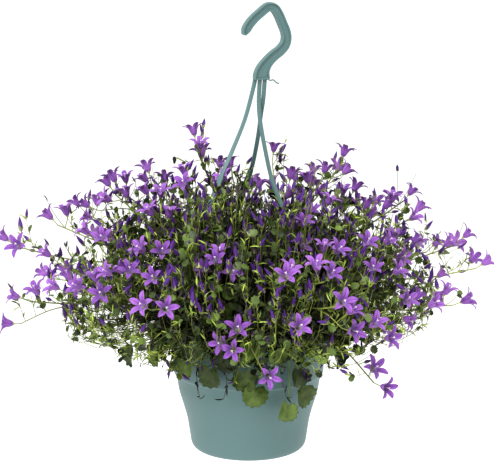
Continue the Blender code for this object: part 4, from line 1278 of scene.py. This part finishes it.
def make_pot_mesh(bead):
    """The pot's turned wall, without its lugs and holes."""
    outside, inside, lip = pot_profile(bead / MM)
    ring = [(0.0, 2.2)] + inside + lip + outside + [(0.0, 0.0)]
    return as_mesh(spun([(radius * MM, height * MM) for radius, height in ring], POT_ROUND_STEPS), "pot")


class PLANT_OT_pot(bpy.types.Operator):
    """Makes the pot: a turned wall with a rounded lip and a step, three slotted lugs and drain holes"""

    bl_idname = "plant.pot"
    bl_label = "Pot"

    def execute(self, context):
        settings = context.scene.basket_pot
        pot = dressed("hanging_pot", make_pot_mesh(settings.rim_bead), "pot_plastic",
                      moulded_plastic("pot_plastic_finish", settings))
        lugs = []
        cuts = []
        for degrees in LUG_ANGLES:
            angle = math.radians(degrees)
            out = Vector((math.cos(angle), math.sin(angle), 0))
            lugs.append(box_mesh(LUG_SIZE, out * (LUG_RADIUS + 0.3 * MM) + UP * (LUG_TOP - LUG_SIZE[2] / 2), angle))
            cuts.append(box_mesh((*SLOT_SIZE, 12 * MM), out * LUG_RADIUS + UP * LUG_TOP, angle))
        for index in range(DRAIN_COUNT):
            angle = math.tau * index / DRAIN_COUNT
            place = Vector((math.cos(angle), math.sin(angle), 0)) * DRAIN_CIRCLE
            cuts.append(peg_mesh(place - UP * 2 * MM, place + UP * 6 * MM, DRAIN_RADIUS, 24))
        combine(pot, lugs, "UNION")
        combine(pot, cuts, "DIFFERENCE")
        pot.data.shade_smooth()
        pot.data.set_sharp_from_angle(angle=math.radians(32))
        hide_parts("pot")
        return {"FINISHED"}


class PLANT_OT_soil(bpy.types.Operator):
    """Fills the pot with lumpy peat"""

    bl_idname = "plant.soil"
    bl_label = "Soil"

    def execute(self, context):
        settings = context.scene.basket_soil
        wall = [(radius, height) for radius, height in inner_wall() if height < SOIL_TOP - 2 * MM]
        edge = [(radius - SOIL_CLEARANCE, max(height, POT_FLOOR + GAP)) for radius, height in wall]
        top = edge[-1][0]
        rings = [(0.0, edge[0][1])] + edge + [(top, SOIL_TOP - 3 * MM)]
        rings += [(top * share, SOIL_TOP - 1 * MM) for share in (0.985, 0.95, 0.9, 0.83, 0.75, 0.66, 0.56, 0.46,
                                                                 0.36, 0.26, 0.16, 0.07, 0.0)]
        bm = spun(rings, SOIL_ROUND_STEPS)
        for vert in bm.verts:
            if vert.co.z > SOIL_TOP - 2 * MM:
                lump = fractal(vert.co * 60, 0.8, 2.1, 4) + 0.5 * fractal(vert.co * 240, 0.7, 2.0, 3)
                vert.co.z += settings.relief * (lump - 0.3)
        soil = dressed("peat", as_mesh(bm, "peat"), "soil", potting_soil(settings))
        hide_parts("soil")
        return {"FINISHED"}


def fine_hook_outline(inset):
    """The hook's smooth outline in its own plane, slanted off at its tip and drawn in from its edge by the inset."""
    line = rounded_line([(-23.0, 516.6, 1.8), (-20.2, 522.6, 4.8), *HOOK_LINE[2:]], 4)
    ways = unit(np.gradient(line[:, :2], axis=0))
    sides = [[], []]
    for index, ((u, z, width), (way_u, way_z)) in enumerate(zip(line, ways)):
        shift = inset if index == 0 else -inset if index == len(line) - 1 else 0.0
        spot = Vector((u * MM + way_u * shift, z * MM + way_z * shift))
        across = Vector((-way_z, way_u)) * (width * MM - inset)
        sides[0].append(spot + across)
        sides[1].append(spot - across)
    return sides[0] + sides[1][::-1]


def fine_strap(strap, degrees):
    """A strap lofted along a smooth line, with its step in width and the barb that holds under the lug."""
    line = [Vector(place) for place in rounded_line([tuple(place) for place in strap_line(strap, degrees)], 5)]
    angle = math.radians(degrees)
    lug_across = Vector((-math.sin(angle), math.cos(angle), 0))
    widths = [STRAP_WIDTH if place.z > STRAP_STEP_HEIGHT else STRAP_WIDE for place in line]
    shares = [min(1.0, index / 40) for index in range(len(line))]
    low = line[-1]
    line += [low - UP * 0.01 * MM, low - UP * 2.5 * MM, low - UP * BARB_LENGTH]
    widths += [BARB_WIDTH, BARB_WIDTH, 0.55 * STRAP_WIDE]
    shares += [1.0] * 3
    bm = bmesh.new()
    rings = []
    for index, (spot, width, share) in enumerate(zip(line, widths, shares)):
        ahead = line[min(index + 1, len(line) - 1)]
        behind = line[max(index - 1, 0)]
        along = (behind - ahead).normalized()
        across = (Vector((math.cos(HOOK_TURN), math.sin(HOOK_TURN), 0)) * (1 - share)
                  + lug_across * (share if lug_across.x > 0 else -share))
        across = (across - along * across.dot(along)).normalized()
        deep = across.cross(along)
        rings.append([bm.verts.new(spot + across * width / 2 * a + deep * STRAP_THICKNESS / 2 * b)
                      for a, b in ((-1, -1), (1, -1), (1, 1), (-1, 1))])
    bm.faces.new(rings[0])
    bm.faces.new(rings[-1])
    for upper, lower in zip(rings, rings[1:]):
        for side in range(4):
            after = (side + 1) % 4
            bm.faces.new((upper[side], upper[after], lower[after], lower[side]))
    return as_mesh(bm, "strap")


class PLANT_OT_hanger(bpy.types.Operator):
    """Makes the hanger: a hook with a sunk web on both faces, three straps with barbs and a thin moulding tail"""

    bl_idname = "plant.hanger"
    bl_label = "Hanger"

    def execute(self, context):
        settings = context.scene.basket_pot
        hanger = dressed("moulded_hanger", plate_mesh(fine_hook_outline(0.0), 0.0, HOOK_THICKNESS), "hanger_plastic",
                         moulded_plastic("hanger_plastic_finish", settings))
        pockets = [plate_mesh(fine_hook_outline(FLANGE)[1:-1], side * HOOK_THICKNESS / 2, 2 * POCKET_DEPTH)
                   for side in (-1, 1)]
        combine(hanger, pockets, "DIFFERENCE", "EXACT")
        tail = rounded_line([tuple(point(place)) for place in TAIL_LINE], 5)
        straps = [fine_strap(strap, angle) for strap, angle in zip(STRAPS, LUG_ANGLES)]
        combine(hanger, straps + [tube_mesh("tail", [Vector(place) for place in tail], TAIL_RADIUS)], "UNION")
        bevel = hanger.modifiers.new("moulded edge", "BEVEL")
        bevel.width = settings.edge
        bevel.segments = 2
        bevel.limit_method = "ANGLE"
        bevel.angle_limit = math.radians(38)
        bevel.use_clamp_overlap = True
        rounded = evaluated_mesh(hanger)
        hanger.modifiers.clear()
        hanger.data = rounded
        hanger.data.shade_smooth()
        hanger.data.set_sharp_from_angle(angle=math.radians(40))
        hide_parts("hanger")
        return {"FINISHED"}


# The grown pieces


@functools.cache
def plant_plan():
    """Where the solid plant's stems, bells, buds and large leaves are: its sprays and its crown's leaves."""
    room = furniture_room()
    sprays = plan_sprays(room)
    return sprays, plan_crown(room, -3)


def blades_of():
    """Every large leaf as its stalk's line and its blade, the crown's first."""
    sprays, crown = plant_plan()
    return crown + [leaf for spray in sprays for leaf in spray["leaves"]]


def bells_on(spray):
    """A spray's bells: those that end a stem, then those at its side."""
    return [ending for ending in spray["endings"] if ending] + spray["blooms"]


def bells_of():
    """Every bell as its stalk's root, its base, its axis, its size and its roll."""
    return [bloom for spray in plant_plan()[0] for bloom in bells_on(spray)]


def rows(vectors):
    """Vectors as an array, one to a row."""
    return np.array([tuple(vector) for vector in vectors], float)


def turned_frames(ways, rolls):
    """Rotations whose Z is each way, rolled about it."""
    ways = unit(ways)
    side = unit(np.cross(ways, np.where(np.abs(ways[:, 2:]) < 0.9, [[0, 0, 1.0]], [[1.0, 0, 0]])))
    deep = np.cross(ways, side)
    cos, sin = np.cos(rolls)[:, None], np.sin(rolls)[:, None]
    return np.stack([side * cos + deep * sin, deep * cos - side * sin, ways], axis=-1)


# The way from the plant to the viewer
LOOK = np.array([0, -0.987, 0.158])

# Where nothing grows: the pot's wall between two radii and under a height, its inside and the space under it, in mm
WALL_ROOM = (85, 103, 152)
INSIDE_ROOM = (93, 127)
LOWEST_GROWTH = 60

# Room kept free of growth, as its start and end along a way and its radius, in mm: along a bell's own axis, from a
# front bell to the viewer, and from a large leaf to the viewer
BELL_ROOM = (-9, 34, 12.5)
BELL_VIEW = (0, 150, 10.5)
LEAF_VIEW = (0, 110, 9.5)
BELL_MIDDLE = 7
FRONT_BELL = 0.35
FACES_VIEWER = 0.6


def in_pot(spots):
    """Which places lie in the pot's wall, under its lip or in the soil, or too near them."""
    radius = np.hypot(spots[..., 0], spots[..., 1])
    height = spots[..., 2]
    inner, outer, top = WALL_ROOM
    wall = (radius > inner * MM) & (radius < outer * MM) & (height < top * MM)
    inside, level = INSIDE_ROOM
    return wall | ((radius < inside * MM) & (height < level * MM)) | (height < LOWEST_GROWTH * MM)


def in_room(spots, middle, way, room, spare=1.0):
    """Which places lie in a room that starts at a middle and runs along a way, its radius times the spare."""
    start, end, radius = room
    apart = spots - middle
    along = apart @ way
    aside = np.linalg.norm(apart - along[:, None] * way, axis=1)
    return (along > start * MM) & (along < end * MM) & (aside < radius * MM * spare)


def hides_bell(spots, spare):
    """Which places stand along a bell's axis, or right before a front bell or a large leaf that faces the viewer."""
    hidden = np.zeros(len(spots), bool)
    for _, base, axis, size, _ in bells_of():
        axis = np.array(axis)
        middle = np.array(base) + axis * BELL_MIDDLE * MM * size
        hidden |= in_room(spots, middle, axis, BELL_ROOM, spare)
        if axis[1] < FRONT_BELL:
            hidden |= in_room(spots, middle, LOOK, BELL_VIEW, spare)
    for _, (base, way, normal, length) in blades_of():
        if np.array(normal) @ LOOK > FACES_VIEWER:
            hidden |= in_room(spots, np.array(base + way * length * 0.5), LOOK, LEAF_VIEW)
    return hidden


class PLANT_OT_leaves(bpy.types.Operator):
    """Makes the large heart-shaped leaves with their stalks, in the crown, over the rim and on the sprays"""

    bl_idname = "plant.leaves"
    bl_label = "Large leaves"

    def execute(self, context):
        settings = context.scene.basket_leaves
        rng = np.random.default_rng(SEEDS["leaves"])
        templates = [heart_leaf(rng) for _ in range(9)]
        pile = Pile("tone", "reach", "vein")
        for index, (stalk, (base, along, normal, length)) in enumerate(blades_of()):
            points, faces, reach, vein = templates[index % len(templates)]
            tone = rng.uniform(0.08, 0.5) if index < len(RIM_LEAVES) else rng.uniform(0.1, 0.55)
            frame_of = frames_of(rows([along]), rows([normal]))
            size = length * rng.uniform(1.02, 1.14)
            pile.add(placed(points, frame_of, rows([base]), np.array([[size] * 3])), faces, tone=tone,
                     reach=reach ** 3, vein=vein)
            spots = rows(list(stalk[:-1]) + [base])
            line = rounded_line(spots, 4)
            pile.add(tube_points(line, np.linspace(1.0, 0.7, len(line)) * MM, 6), tube_faces(len(line), 6),
                     tone=tone + 0.2, reach=0.2, vein=0.45)
        leaves = pile.make("crown_leaves", "foliage", leaf_finish("large_leaf", settings, settings.deep,
                                                                 settings.fresh, 0.48))
        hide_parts("leaf_crown")
        return {"FINISHED"}


class PLANT_OT_stems(bpy.types.Operator):
    """Makes the flowering stems with the bells' and buds' own stalks"""

    bl_idname = "plant.stems"
    bl_label = "Flowering stems"

    def execute(self, context):
        rng = np.random.default_rng(SEEDS["stems"])
        stems = Pile("tone", "reach")
        for spray in plant_plan()[0]:
            tone = rng.uniform(0.2, 0.6)
            for index, line in enumerate(spray["lines"]):
                path = rounded_line(rows(line), 5)
                thick, thin = (1.2, 0.88) if index == 0 else (0.85, 0.65)
                # Painted shade: the stem's tone falls with openness, so its inner part is darker.
                add_tube(stems, path, np.linspace(thick, thin, len(path)) * MM, 6,
                         np.repeat(tone * (0.15 + 0.85 * openness(path)), 6))
            for root, base, axis, _, _ in bells_on(spray):
                lead = base - root
                path = bent_line(root, root + lead * 0.4, base - axis * lead.length * 0.25, base, 6)
                add_tube(stems, path, np.linspace(0.62, 0.55, 6) * MM, 5, tone)
            for root, tip in spray["buds"]:
                path = bent_line(root, root.lerp(tip, 0.2), root.lerp(tip, 0.35), root.lerp(tip, 0.5), 4)
                add_tube(stems, path, [0.55 * MM] * 4, 5, tone)
        piece = stems.make("flowering_stems", "foliage", stem_finish(context.scene.basket_flowers))
        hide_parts(*SPRAY_NODES)
        return {"FINISHED"}


@functools.cache
def shoot_plan():
    """The thin leafy shoots: paths, radii and tones. Side twigs of the sprays come first, then the inner shoots."""
    rng = np.random.default_rng(SEEDS["shoots"])
    scene = bpy.context.scene
    twigs = []
    for spray in plant_plan()[0]:
        for number, line in enumerate(spray["lines"]):
            path = rounded_line(rows(line), 6)
            ways = unit(np.gradient(path, axis=0))
            count = scene.basket_flowers.side_twigs if number == 0 else 4
            shares = 0.30 + 0.68 * np.linspace(0, 1, count) ** 0.75 + rng.uniform(-0.03, 0.03, count)
            for share in np.clip(shares, 0, 1):
                index = int(share * (len(path) - 1))
                out = unit(rng.normal(size=3) * (0.75, 0.75, 0.5) + ways[index] * 0.5 + (0, 0, 0.8))
                length = rng.uniform(14, 42) * MM
                end = path[index] + out * length + (0, 0, 0.22 * length)
                pull = path[index] + out * length * 0.55
                twigs.append((bent_line(path[index], pull, pull, end, 7), 0.5 * MM, rng.uniform(0.3, 0.95)))
    side_twigs = len(twigs)
    for number in range(scene.basket_leaves.inner_shoots):
        around = rng.uniform(0, math.tau)
        out = rng.random() ** 0.5
        top = 188 + (150 + 14 * math.sin(3 * around + 1)) * math.sqrt(max(0.0, 1 - out ** 2.3))
        low = 168 if out > 0.8 else 156 if out > 0.5 else 175
        target = np.array([230 * out * math.cos(around), 222 * out * math.sin(around),
                           low + (top - low) * rng.random() ** 0.62]) * MM
        if number % 7 == 0:
            target = np.array([rng.choice((-52, 54)) + rng.uniform(-22, 22), rng.uniform(-125, -48),
                               rng.uniform(225, 335)]) * MM
        flat = unit(np.array([target[0], target[1], 0]) + rng.normal(size=3) * (20, 20, 0) * MM)
        start = flat * rng.uniform(20, 58) * MM + (0, 0, rng.uniform(160, 190) * MM)
        length = np.linalg.norm(target - start)
        pull = start + (flat * rng.uniform(0.4, 0.9) + (0, 0, 0.3)) * length * 0.55
        lean = rng.normal(size=3) * (0.16, 0.16, 0) + flat * 0.12
        twigs.append((bent_line(start, pull, target - ((0, 0, 1.0) + lean) * 0.42 * length, target, 9), 0.62 * MM,
                      rng.uniform(0.25, 1.0)))
    for _ in range(scene.basket_leaves.rim_shoots):
        around = rng.uniform(0, math.tau)
        flat = np.array([math.cos(around), math.sin(around), 0])
        over = flat * rng.uniform(98, 114) * MM + (0, 0, rng.uniform(162, 188) * MM)
        end = flat * rng.uniform(106, 126) * MM + (0, 0, rng.uniform(118, 152) * MM)
        end += np.cross(flat, (0, 0, 1)) * rng.uniform(-18, 18) * MM
        path = bent_line(flat * 52 * MM + (0, 0, 165 * MM), over * (0.75, 0.75, 1.0), over, end, 9)
        twigs.append((path, 0.62 * MM, rng.uniform(0.2, 0.9)))
    for dangling in DANGLING_TWIGS:
        twigs.append((rounded_line(np.array(dangling) * MM, 3), 0.75 * MM, 0.02))
    low, high = (np.array(corner) for corner in CAD_BOX)
    kept = [not in_pot(path).any() and (path > low - 3 * MM).all() and (path < high + 3 * MM).all()
            for path, _, _ in twigs]
    return [twig for twig, keep in zip(twigs, kept) if keep], sum(kept[:side_twigs])


class Growth(list):
    """Small leaves or buds as rows of base, way, normal, size and tone, which are culled and placed all at once."""

    def add(self, *row):
        self.append(row)

    def culled(self, spare):
        """The rows as arrays, without those in the pot or before a bell."""
        bases, ways, normals, sizes, tones = (np.array(values, float) for values in zip(*self))
        middles = bases + unit(ways) * sizes[:, 1:2] * 0.5
        tips = bases + unit(ways) * sizes[:, 1:2]
        keep = ~(in_pot(bases) | in_pot(middles) | in_pot(tips) | hides_bell(middles, spare))
        return bases[keep], ways[keep], normals[keep], sizes[keep], tones[keep]


# Narrow leaves under this height are in one piece and those above it in another
LOW_LEAVES_TOP = 195 * MM


def openness(spot):
    """How much light reaches a place in the mound: 1 at its outside and less towards its middle."""
    reach = np.linalg.norm((spot - (0, 0, 175 * MM)) / (208 * MM, 208 * MM, 165 * MM), axis=-1)
    low = np.clip((172 * MM - spot[..., 2]) / (22 * MM), 0, 1)
    reach += 0.34 * low * (np.hypot(spot[..., 0], spot[..., 1]) > 88 * MM)
    return np.clip((reach - 0.53) / 0.44, 0.0, 1.0) ** 1.7


@functools.cache
def growth_plan():
    """What grows on the shoots: narrow leaves, round leaves and buds."""
    rng = np.random.default_rng(SEEDS["growth"])
    settings = bpy.context.scene.basket_leaves
    shoots, side_twigs = shoot_plan()
    narrow, round_leaves, buds = Growth(), Growth(), Growth()
    for index, (path, _, tone) in enumerate(shoots):
        ways = unit(np.gradient(path, axis=0))
        inner = index >= side_twigs
        dangling = tone < 0.05
        count = rng.integers(10, 17) if inner else rng.integers(4, 8)
        for share in 1 - (0.75 if inner else 0.85) * rng.random(count) ** (1.4 if inner else 1.0):
            spot = share * (len(path) - 1)
            step = min(int(spot), len(path) - 2)
            base = path[step] + (path[step + 1] - path[step]) * (spot - step)
            length = settings.small_length * rng.uniform(0.65, 1.3)
            # Painted shade: a leaf's tone is scaled by openness, so leaves deep in the mound are darker.
            own = tone if dangling else np.clip(0.85 * tone + rng.normal() * 0.27, 0, 1) * openness(base)
            if rng.random() < (0.72 if inner else 0.62):
                out = unit(rng.normal(size=3) * 0.66 + ways[step] * 0.8 + (0, 0, 0.35))
                narrow.add(base, out, unit(ways[step] + rng.normal(size=3) * 0.4),
                           (length * rng.uniform(0.115, 0.19), length, length), own)
            else:
                out = unit(rng.normal(size=3) + ways[step] * 0.8 + (0, 0, 0.35))
                face = unit(np.array([base[0], base[1], 0]) * 4 + (0, 0, 0.9) + rng.normal(size=3) * 0.45)
                wide = settings.small_length * rng.uniform(0.5, 1.0) * (0.5 if dangling else 1.0)
                round_leaves.add(base, out, face, (wide, wide * 1.05, wide), own * 0.55)
        high = path[-1][2] > 235 * MM
        clustered = (0, 0, 1, 1, 3) if high else (0, 0, 0, 1, 1) if inner else (0, 1, 1, 2, 2)
        for place in range(0 if dangling else clustered[rng.integers(5)]):
            full = rng.random() < (0.6 if high else 0.36)
            length = rng.uniform(13, 18) * MM if full else rng.uniform(7, 13) * MM
            radius = length * (rng.uniform(0.14, 0.165) if full else rng.uniform(0.11, 0.14))
            way = unit(ways[-1] + (0, 0, 0.35) + rng.normal(size=3) * (0.48 + 0.15 * place))
            buds.add(path[-1 - place], way, ways[-1], (radius, length, radius), rng.uniform(0.55, 1) if full
                     else rng.uniform(0, 0.7))
    for spray in plant_plan()[0]:
        for root, tip in spray["buds"]:
            lead = np.array(tip - root)
            base = np.array(root) + lead * 0.45
            length = np.linalg.norm(lead) * 0.57
            buds.add(base, lead, lead, (2.1 * MM, length, 2.1 * MM), rng.uniform(0.2, 1))
    return narrow.culled(1.0), round_leaves.culled(1.0), buds.culled(0.75)


class PLANT_OT_shoots(bpy.types.Operator):
    """Makes the thin leafy shoots that fill the mound, with their narrow and their small round leaves"""

    bl_idname = "plant.shoots"
    bl_label = "Leafy shoots"

    def execute(self, context):
        settings = context.scene.basket_leaves
        stems = Pile("tone", "reach")
        for path, radius, tone in shoot_plan()[0]:
            # Painted shade: a shoot's tone falls with openness, so it darkens towards the mound's middle; the
            # dangling twigs keep their own brown.
            add_tube(stems, path, np.linspace(1.0, 0.6, len(path)) * radius, 3,
                     np.repeat(0.6 * tone * openness(path) if tone > 0.05 else np.full(len(path), tone), 3))
        stems.make("shoot_stems", "foliage", stem_finish(context.scene.basket_flowers))
        narrow, round_leaves, _ = growth_plan()
        low = narrow[0][:, 2] < LOW_LEAVES_TOP
        spiky = leaf_finish("narrow_leaf", settings, settings.deep, settings.spike, 0.5)
        rounded = leaf_finish("round_leaf", settings, settings.deep, settings.fresh, 0.5)
        for name, grown, (points, faces, reach, vein), finish in (
                ("low_narrow_leaves", [values[low] for values in narrow], narrow_leaf(), spiky),
                ("high_narrow_leaves", [values[~low] for values in narrow], narrow_leaf(), spiky),
                ("round_leaves", round_leaves, small_round_leaf(), rounded)):
            bases, ways, normals, sizes, tones = grown
            pile = Pile("tone", "reach", "vein")
            pile.add(placed(points, frames_of(ways, normals), bases, sizes), faces, tone=tones[:, None],
                     reach=reach * 0.7, vein=(np.abs(vein) < 0.1) * 0.8)
            pile.make(name, "foliage", finish)
        return {"FINISHED"}


class PLANT_OT_heart(bpy.types.Operator):
    """Makes the tangle in the middle of the plant, which the leaves and shoots stand out of, dark with painted shade
    of the plant's inside
    """

    bl_idname = "plant.heart"
    bl_label = "Inner tangle"

    def execute(self, context):
        bm = bmesh.new()
        bmesh.ops.create_icosphere(bm, subdivisions=5, radius=1.0)
        for vert in bm.verts:
            way = vert.co.normalized()
            lump = 1 + 0.10 * fractal(way * 9, 0.8, 2.1, 4)
            vert.co = CORE_CENTRE + Vector((way.x * 63, way.y * 63, way.z * 66)) * MM * lump
            vert.co.z = max(vert.co.z, SOIL_TOP + 0.5 * MM)
        bmesh.ops.dissolve_degenerate(bm, edges=bm.edges, dist=0.05 * MM)
        mesh = as_mesh(bm, "inner_tangle")
        dressed("inner_tangle", mesh, "foliage", tangle_and_shade_finish(context.scene.basket_leaves))
        return {"FINISHED"}


class PLANT_OT_bells(bpy.types.Operator):
    """Makes the open bells with their five lobes, their pale styles and their narrow sepals"""

    bl_idname = "plant.bells"
    bl_label = "Bells"

    def execute(self, context):
        settings = context.scene.basket_flowers
        rng = np.random.default_rng(SEEDS["bells"])
        petals, styles, sepals = Pile("tone", "reach", "side", "inside"), Pile("reach"), Pile("tone", "reach")
        blooms = bells_of()
        bases = rows(base for _, base, _, _, _ in blooms)
        frames = np.array([np.array(frame_on(axis, roll)) for _, _, axis, _, roll in blooms])
        sizes = np.array([size for _, _, _, size, _ in blooms]) * settings.bell_scale * MM
        reach = np.repeat(BELL_STEPS, LOBE_COLUMNS)
        side = np.tile(np.linspace(-1, 1, LOBE_COLUMNS), len(BELL_STEPS))
        faces = grid_faces(len(BELL_STEPS), LOBE_COLUMNS)
        tube = grid_faces(LINED_ROWS, LOBE_COLUMNS)
        lined = LINED_ROWS * LOBE_COLUMNS
        for base, turn, size in zip(bases, frames, sizes):
            lobes = bell_points(rng, rng.uniform(0.86, 1.06)).reshape(LOBES, -1, 3)
            tone = rng.uniform(0, 1)
            petals.add(lobes * size @ turn.T + base, faces, tone=tone, reach=reach, side=side, inside=0.0)
            lining = lobes[:, :lined] * (0.955, 0.955, 1.0) + (0, 0, 0.12)
            petals.add(lining * size @ turn.T + base, tube, tone=tone, reach=reach[:lined],
                       side=side[:lined], inside=1.0)
            sway = rng.normal(size=2) * 0.5
            line = np.array([(0, 0, 0.6), (0, 0, 5.0), (*sway * 0.5, 9.5), (*sway, 11.6)])
            styles.add(tube_points(line, [0.4, 0.35, 0.38, 0.5], 6) * size @ turn.T + base, tube_faces(4, 6),
                       reach=np.repeat([0.0, 0.3, 0.9, 1.0], 6))
            for arm in range(3):
                angle = arm * math.tau / 3 + tone * 6
                out = np.array([math.cos(angle), math.sin(angle), 0])
                fork = np.array((*sway, 11.4))
                line = [fork, fork + out * 0.7 + (0, 0, 0.7), fork + out * 1.5 + (0, 0, 0.5)]
                styles.add(tube_points(line, [0.38, 0.33, 0.22], 5) * size @ turn.T + base, tube_faces(3, 5),
                           reach=1.0)
        points, sepal_faces, sepal_reach = sepal_ring(0.75, 6.5, 1.3)
        for base, turn, size in zip(bases, frames, sizes):
            own = points * (1, 1, rng.uniform(0.75, 1.05))
            sepals.add(own * size @ turn.T + base, sepal_faces, tone=rng.uniform(0.3, 1), reach=sepal_reach)
            cup = [(0, 0, -1.6), (0, 0, -0.4), (0, 0, 1.0)]
            sepals.add(tube_points(cup, [0.8, 1.7, 1.5], 8) * size @ turn.T + base, tube_faces(3, 8), tone=0.6,
                       reach=0.3)
        petals.make("bells", "bloom", petal_finish(settings))
        styles.make("bell_styles", "bloom", pale_finish(settings))
        sepals.make("bell_sepals", "foliage", stem_finish(settings))
        return {"FINISHED"}


class PLANT_OT_buds(bpy.types.Operator):
    """Makes the closed buds with their sepals, on the sprays, the side twigs and the shoots' ends"""

    bl_idname = "plant.buds"
    bl_label = "Buds"

    def execute(self, context):
        settings = context.scene.basket_flowers
        bases, ways, _, sizes, tones = growth_plan()[2]
        points, faces, reach, side = bud_shape()
        frames = turned_frames(ways, tones * 40)
        pile = Pile("tone", "reach", "side")
        pile.add(placed(points, frames, bases, sizes[:, [0, 2, 1]]), faces, tone=tones[:, None], reach=reach,
                 side=side)
        pile.make("closed_buds", "bloom", bud_finish(settings))
        sepals = Pile("tone", "reach")
        shape, sepal_faces, sepal_reach = sepal_ring(0.1, 6.0, 1.1)
        for lobe in shape:
            sepals.add(placed(lobe, frames, bases, np.repeat(sizes[:, 1:2] / 14, 3, axis=1)), sepal_faces,
                       tone=0.3 + tones[:, None] * 0.5, reach=sepal_reach)
        sepals.make("bud_sepals", "foliage", stem_finish(settings))
        return {"FINISHED"}


# The stage


FLOOR_HALF = 6.0
LIGHT_AIM = (0, 0, 0.22)
KEY_PLACE, KEY_SIZE = (-0.9, -2.0, 2.6), 1.5
RIM_PLACE, RIM_SIZE = (1.6, 1.2, 1.6), 1.2
RIM_SHARE = 0.08
SENSOR_WIDTH = 36.0


def light(name, place, aim, size, power):
    """A soft square lamp that faces what it is aimed at."""
    data = bpy.data.lights.new(name, "AREA")
    data.size = size
    data.energy = power
    lamp = bpy.data.objects.new(name, data)
    lamp.location = place
    lamp.rotation_euler = (Vector(place) - Vector(aim)).to_track_quat("Z", "Y").to_euler()
    bpy.context.scene.collection.objects.link(lamp)


class PLANT_OT_stage(bpy.types.Operator):
    """Makes the pale floor, the soft lights, the white surround and the camera"""

    bl_idname = "plant.stage"
    bl_label = "Stage"

    def execute(self, context):
        scene = context.scene
        settings = scene.basket_stage
        mesh = bpy.data.meshes.new("floor")
        corners = [(x * FLOOR_HALF, y * FLOOR_HALF, 0) for x, y in ((-1, -1), (1, -1), (1, 1), (-1, 1))]
        mesh.from_pydata(corners, [], [(0, 1, 2, 3)])
        mesh.materials.append(floor_finish(settings))
        floor = bpy.data.objects.new("floor", mesh)
        floor.location.z = -settings.drop
        scene.collection.objects.link(floor)
        world = bpy.data.worlds.new("surround")
        world.use_nodes = True
        surround = world.node_tree.nodes["Background"].inputs
        surround["Color"].default_value = (1, 1, 1, 1)
        surround["Strength"].default_value = settings.fill
        scene.world = world
        light("key", KEY_PLACE, LIGHT_AIM, KEY_SIZE, settings.key)
        light("rim", RIM_PLACE, LIGHT_AIM, RIM_SIZE, settings.key * RIM_SHARE)
        camera = bpy.data.objects.new("camera", bpy.data.cameras.new("camera"))
        camera.data.lens = CAMERA_LENS
        camera.data.sensor_width = SENSOR_WIDTH
        camera.data.sensor_fit = "HORIZONTAL"
        camera.location = CAMERA_PLACE
        camera.rotation_euler = (CAMERA_PLACE - CAMERA_AIM).to_track_quat("Z", "Y").to_euler()
        scene.collection.objects.link(camera)
        scene.camera = camera
        scene.view_settings.view_transform = "Standard"
        scene.view_settings.look = "Medium High Contrast"
        return {"FINISHED"}


class PLANT_PT_panel(bpy.types.Panel):
    """Lists the basket's settings and the steps that make it"""

    bl_idname = "PLANT_PT_panel"
    bl_label = "Bellflower basket"
    bl_space_type = "VIEW_3D"
    bl_region_type = "UI"
    bl_category = "Bellflower"

    def draw(self, context):
        for name, _ in SETTINGS:
            box = self.layout.box()
            settings = getattr(context.scene, name)
            for setting in settings.__annotations__:
                box.prop(settings, setting)
        for operator in OPERATORS:
            self.layout.operator(operator.bl_idname)


SETTINGS = (("basket_pot", PotSettings), ("basket_soil", SoilSettings), ("basket_leaves", LeafSettings),
            ("basket_flowers", FlowerSettings), ("basket_stage", StageSettings))
OPERATORS = (PLANT_OT_pot, PLANT_OT_soil, PLANT_OT_hanger, PLANT_OT_heart, PLANT_OT_leaves, PLANT_OT_stems,
             PLANT_OT_shoots, PLANT_OT_bells, PLANT_OT_buds, PLANT_OT_stage)


def register():
    for name, settings in SETTINGS:
        bpy.utils.register_class(settings)
        setattr(bpy.types.Scene, name, PointerProperty(type=settings))
    for made in (*OPERATORS, PLANT_PT_panel):
        bpy.utils.register_class(made)


def unregister():
    for made in (PLANT_PT_panel, *reversed(OPERATORS)):
        bpy.utils.unregister_class(made)
    for name, settings in reversed(SETTINGS):
        delattr(bpy.types.Scene, name)
        bpy.utils.unregister_class(settings)


def main():
    register()
    for operator in OPERATORS:
        group, step = operator.bl_idname.split(".")
        if getattr(getattr(bpy.ops, group), step)() != {"FINISHED"}:
            raise RuntimeError(f"{operator.bl_label} wasn't finished")


if __name__ == "__main__":
    main()
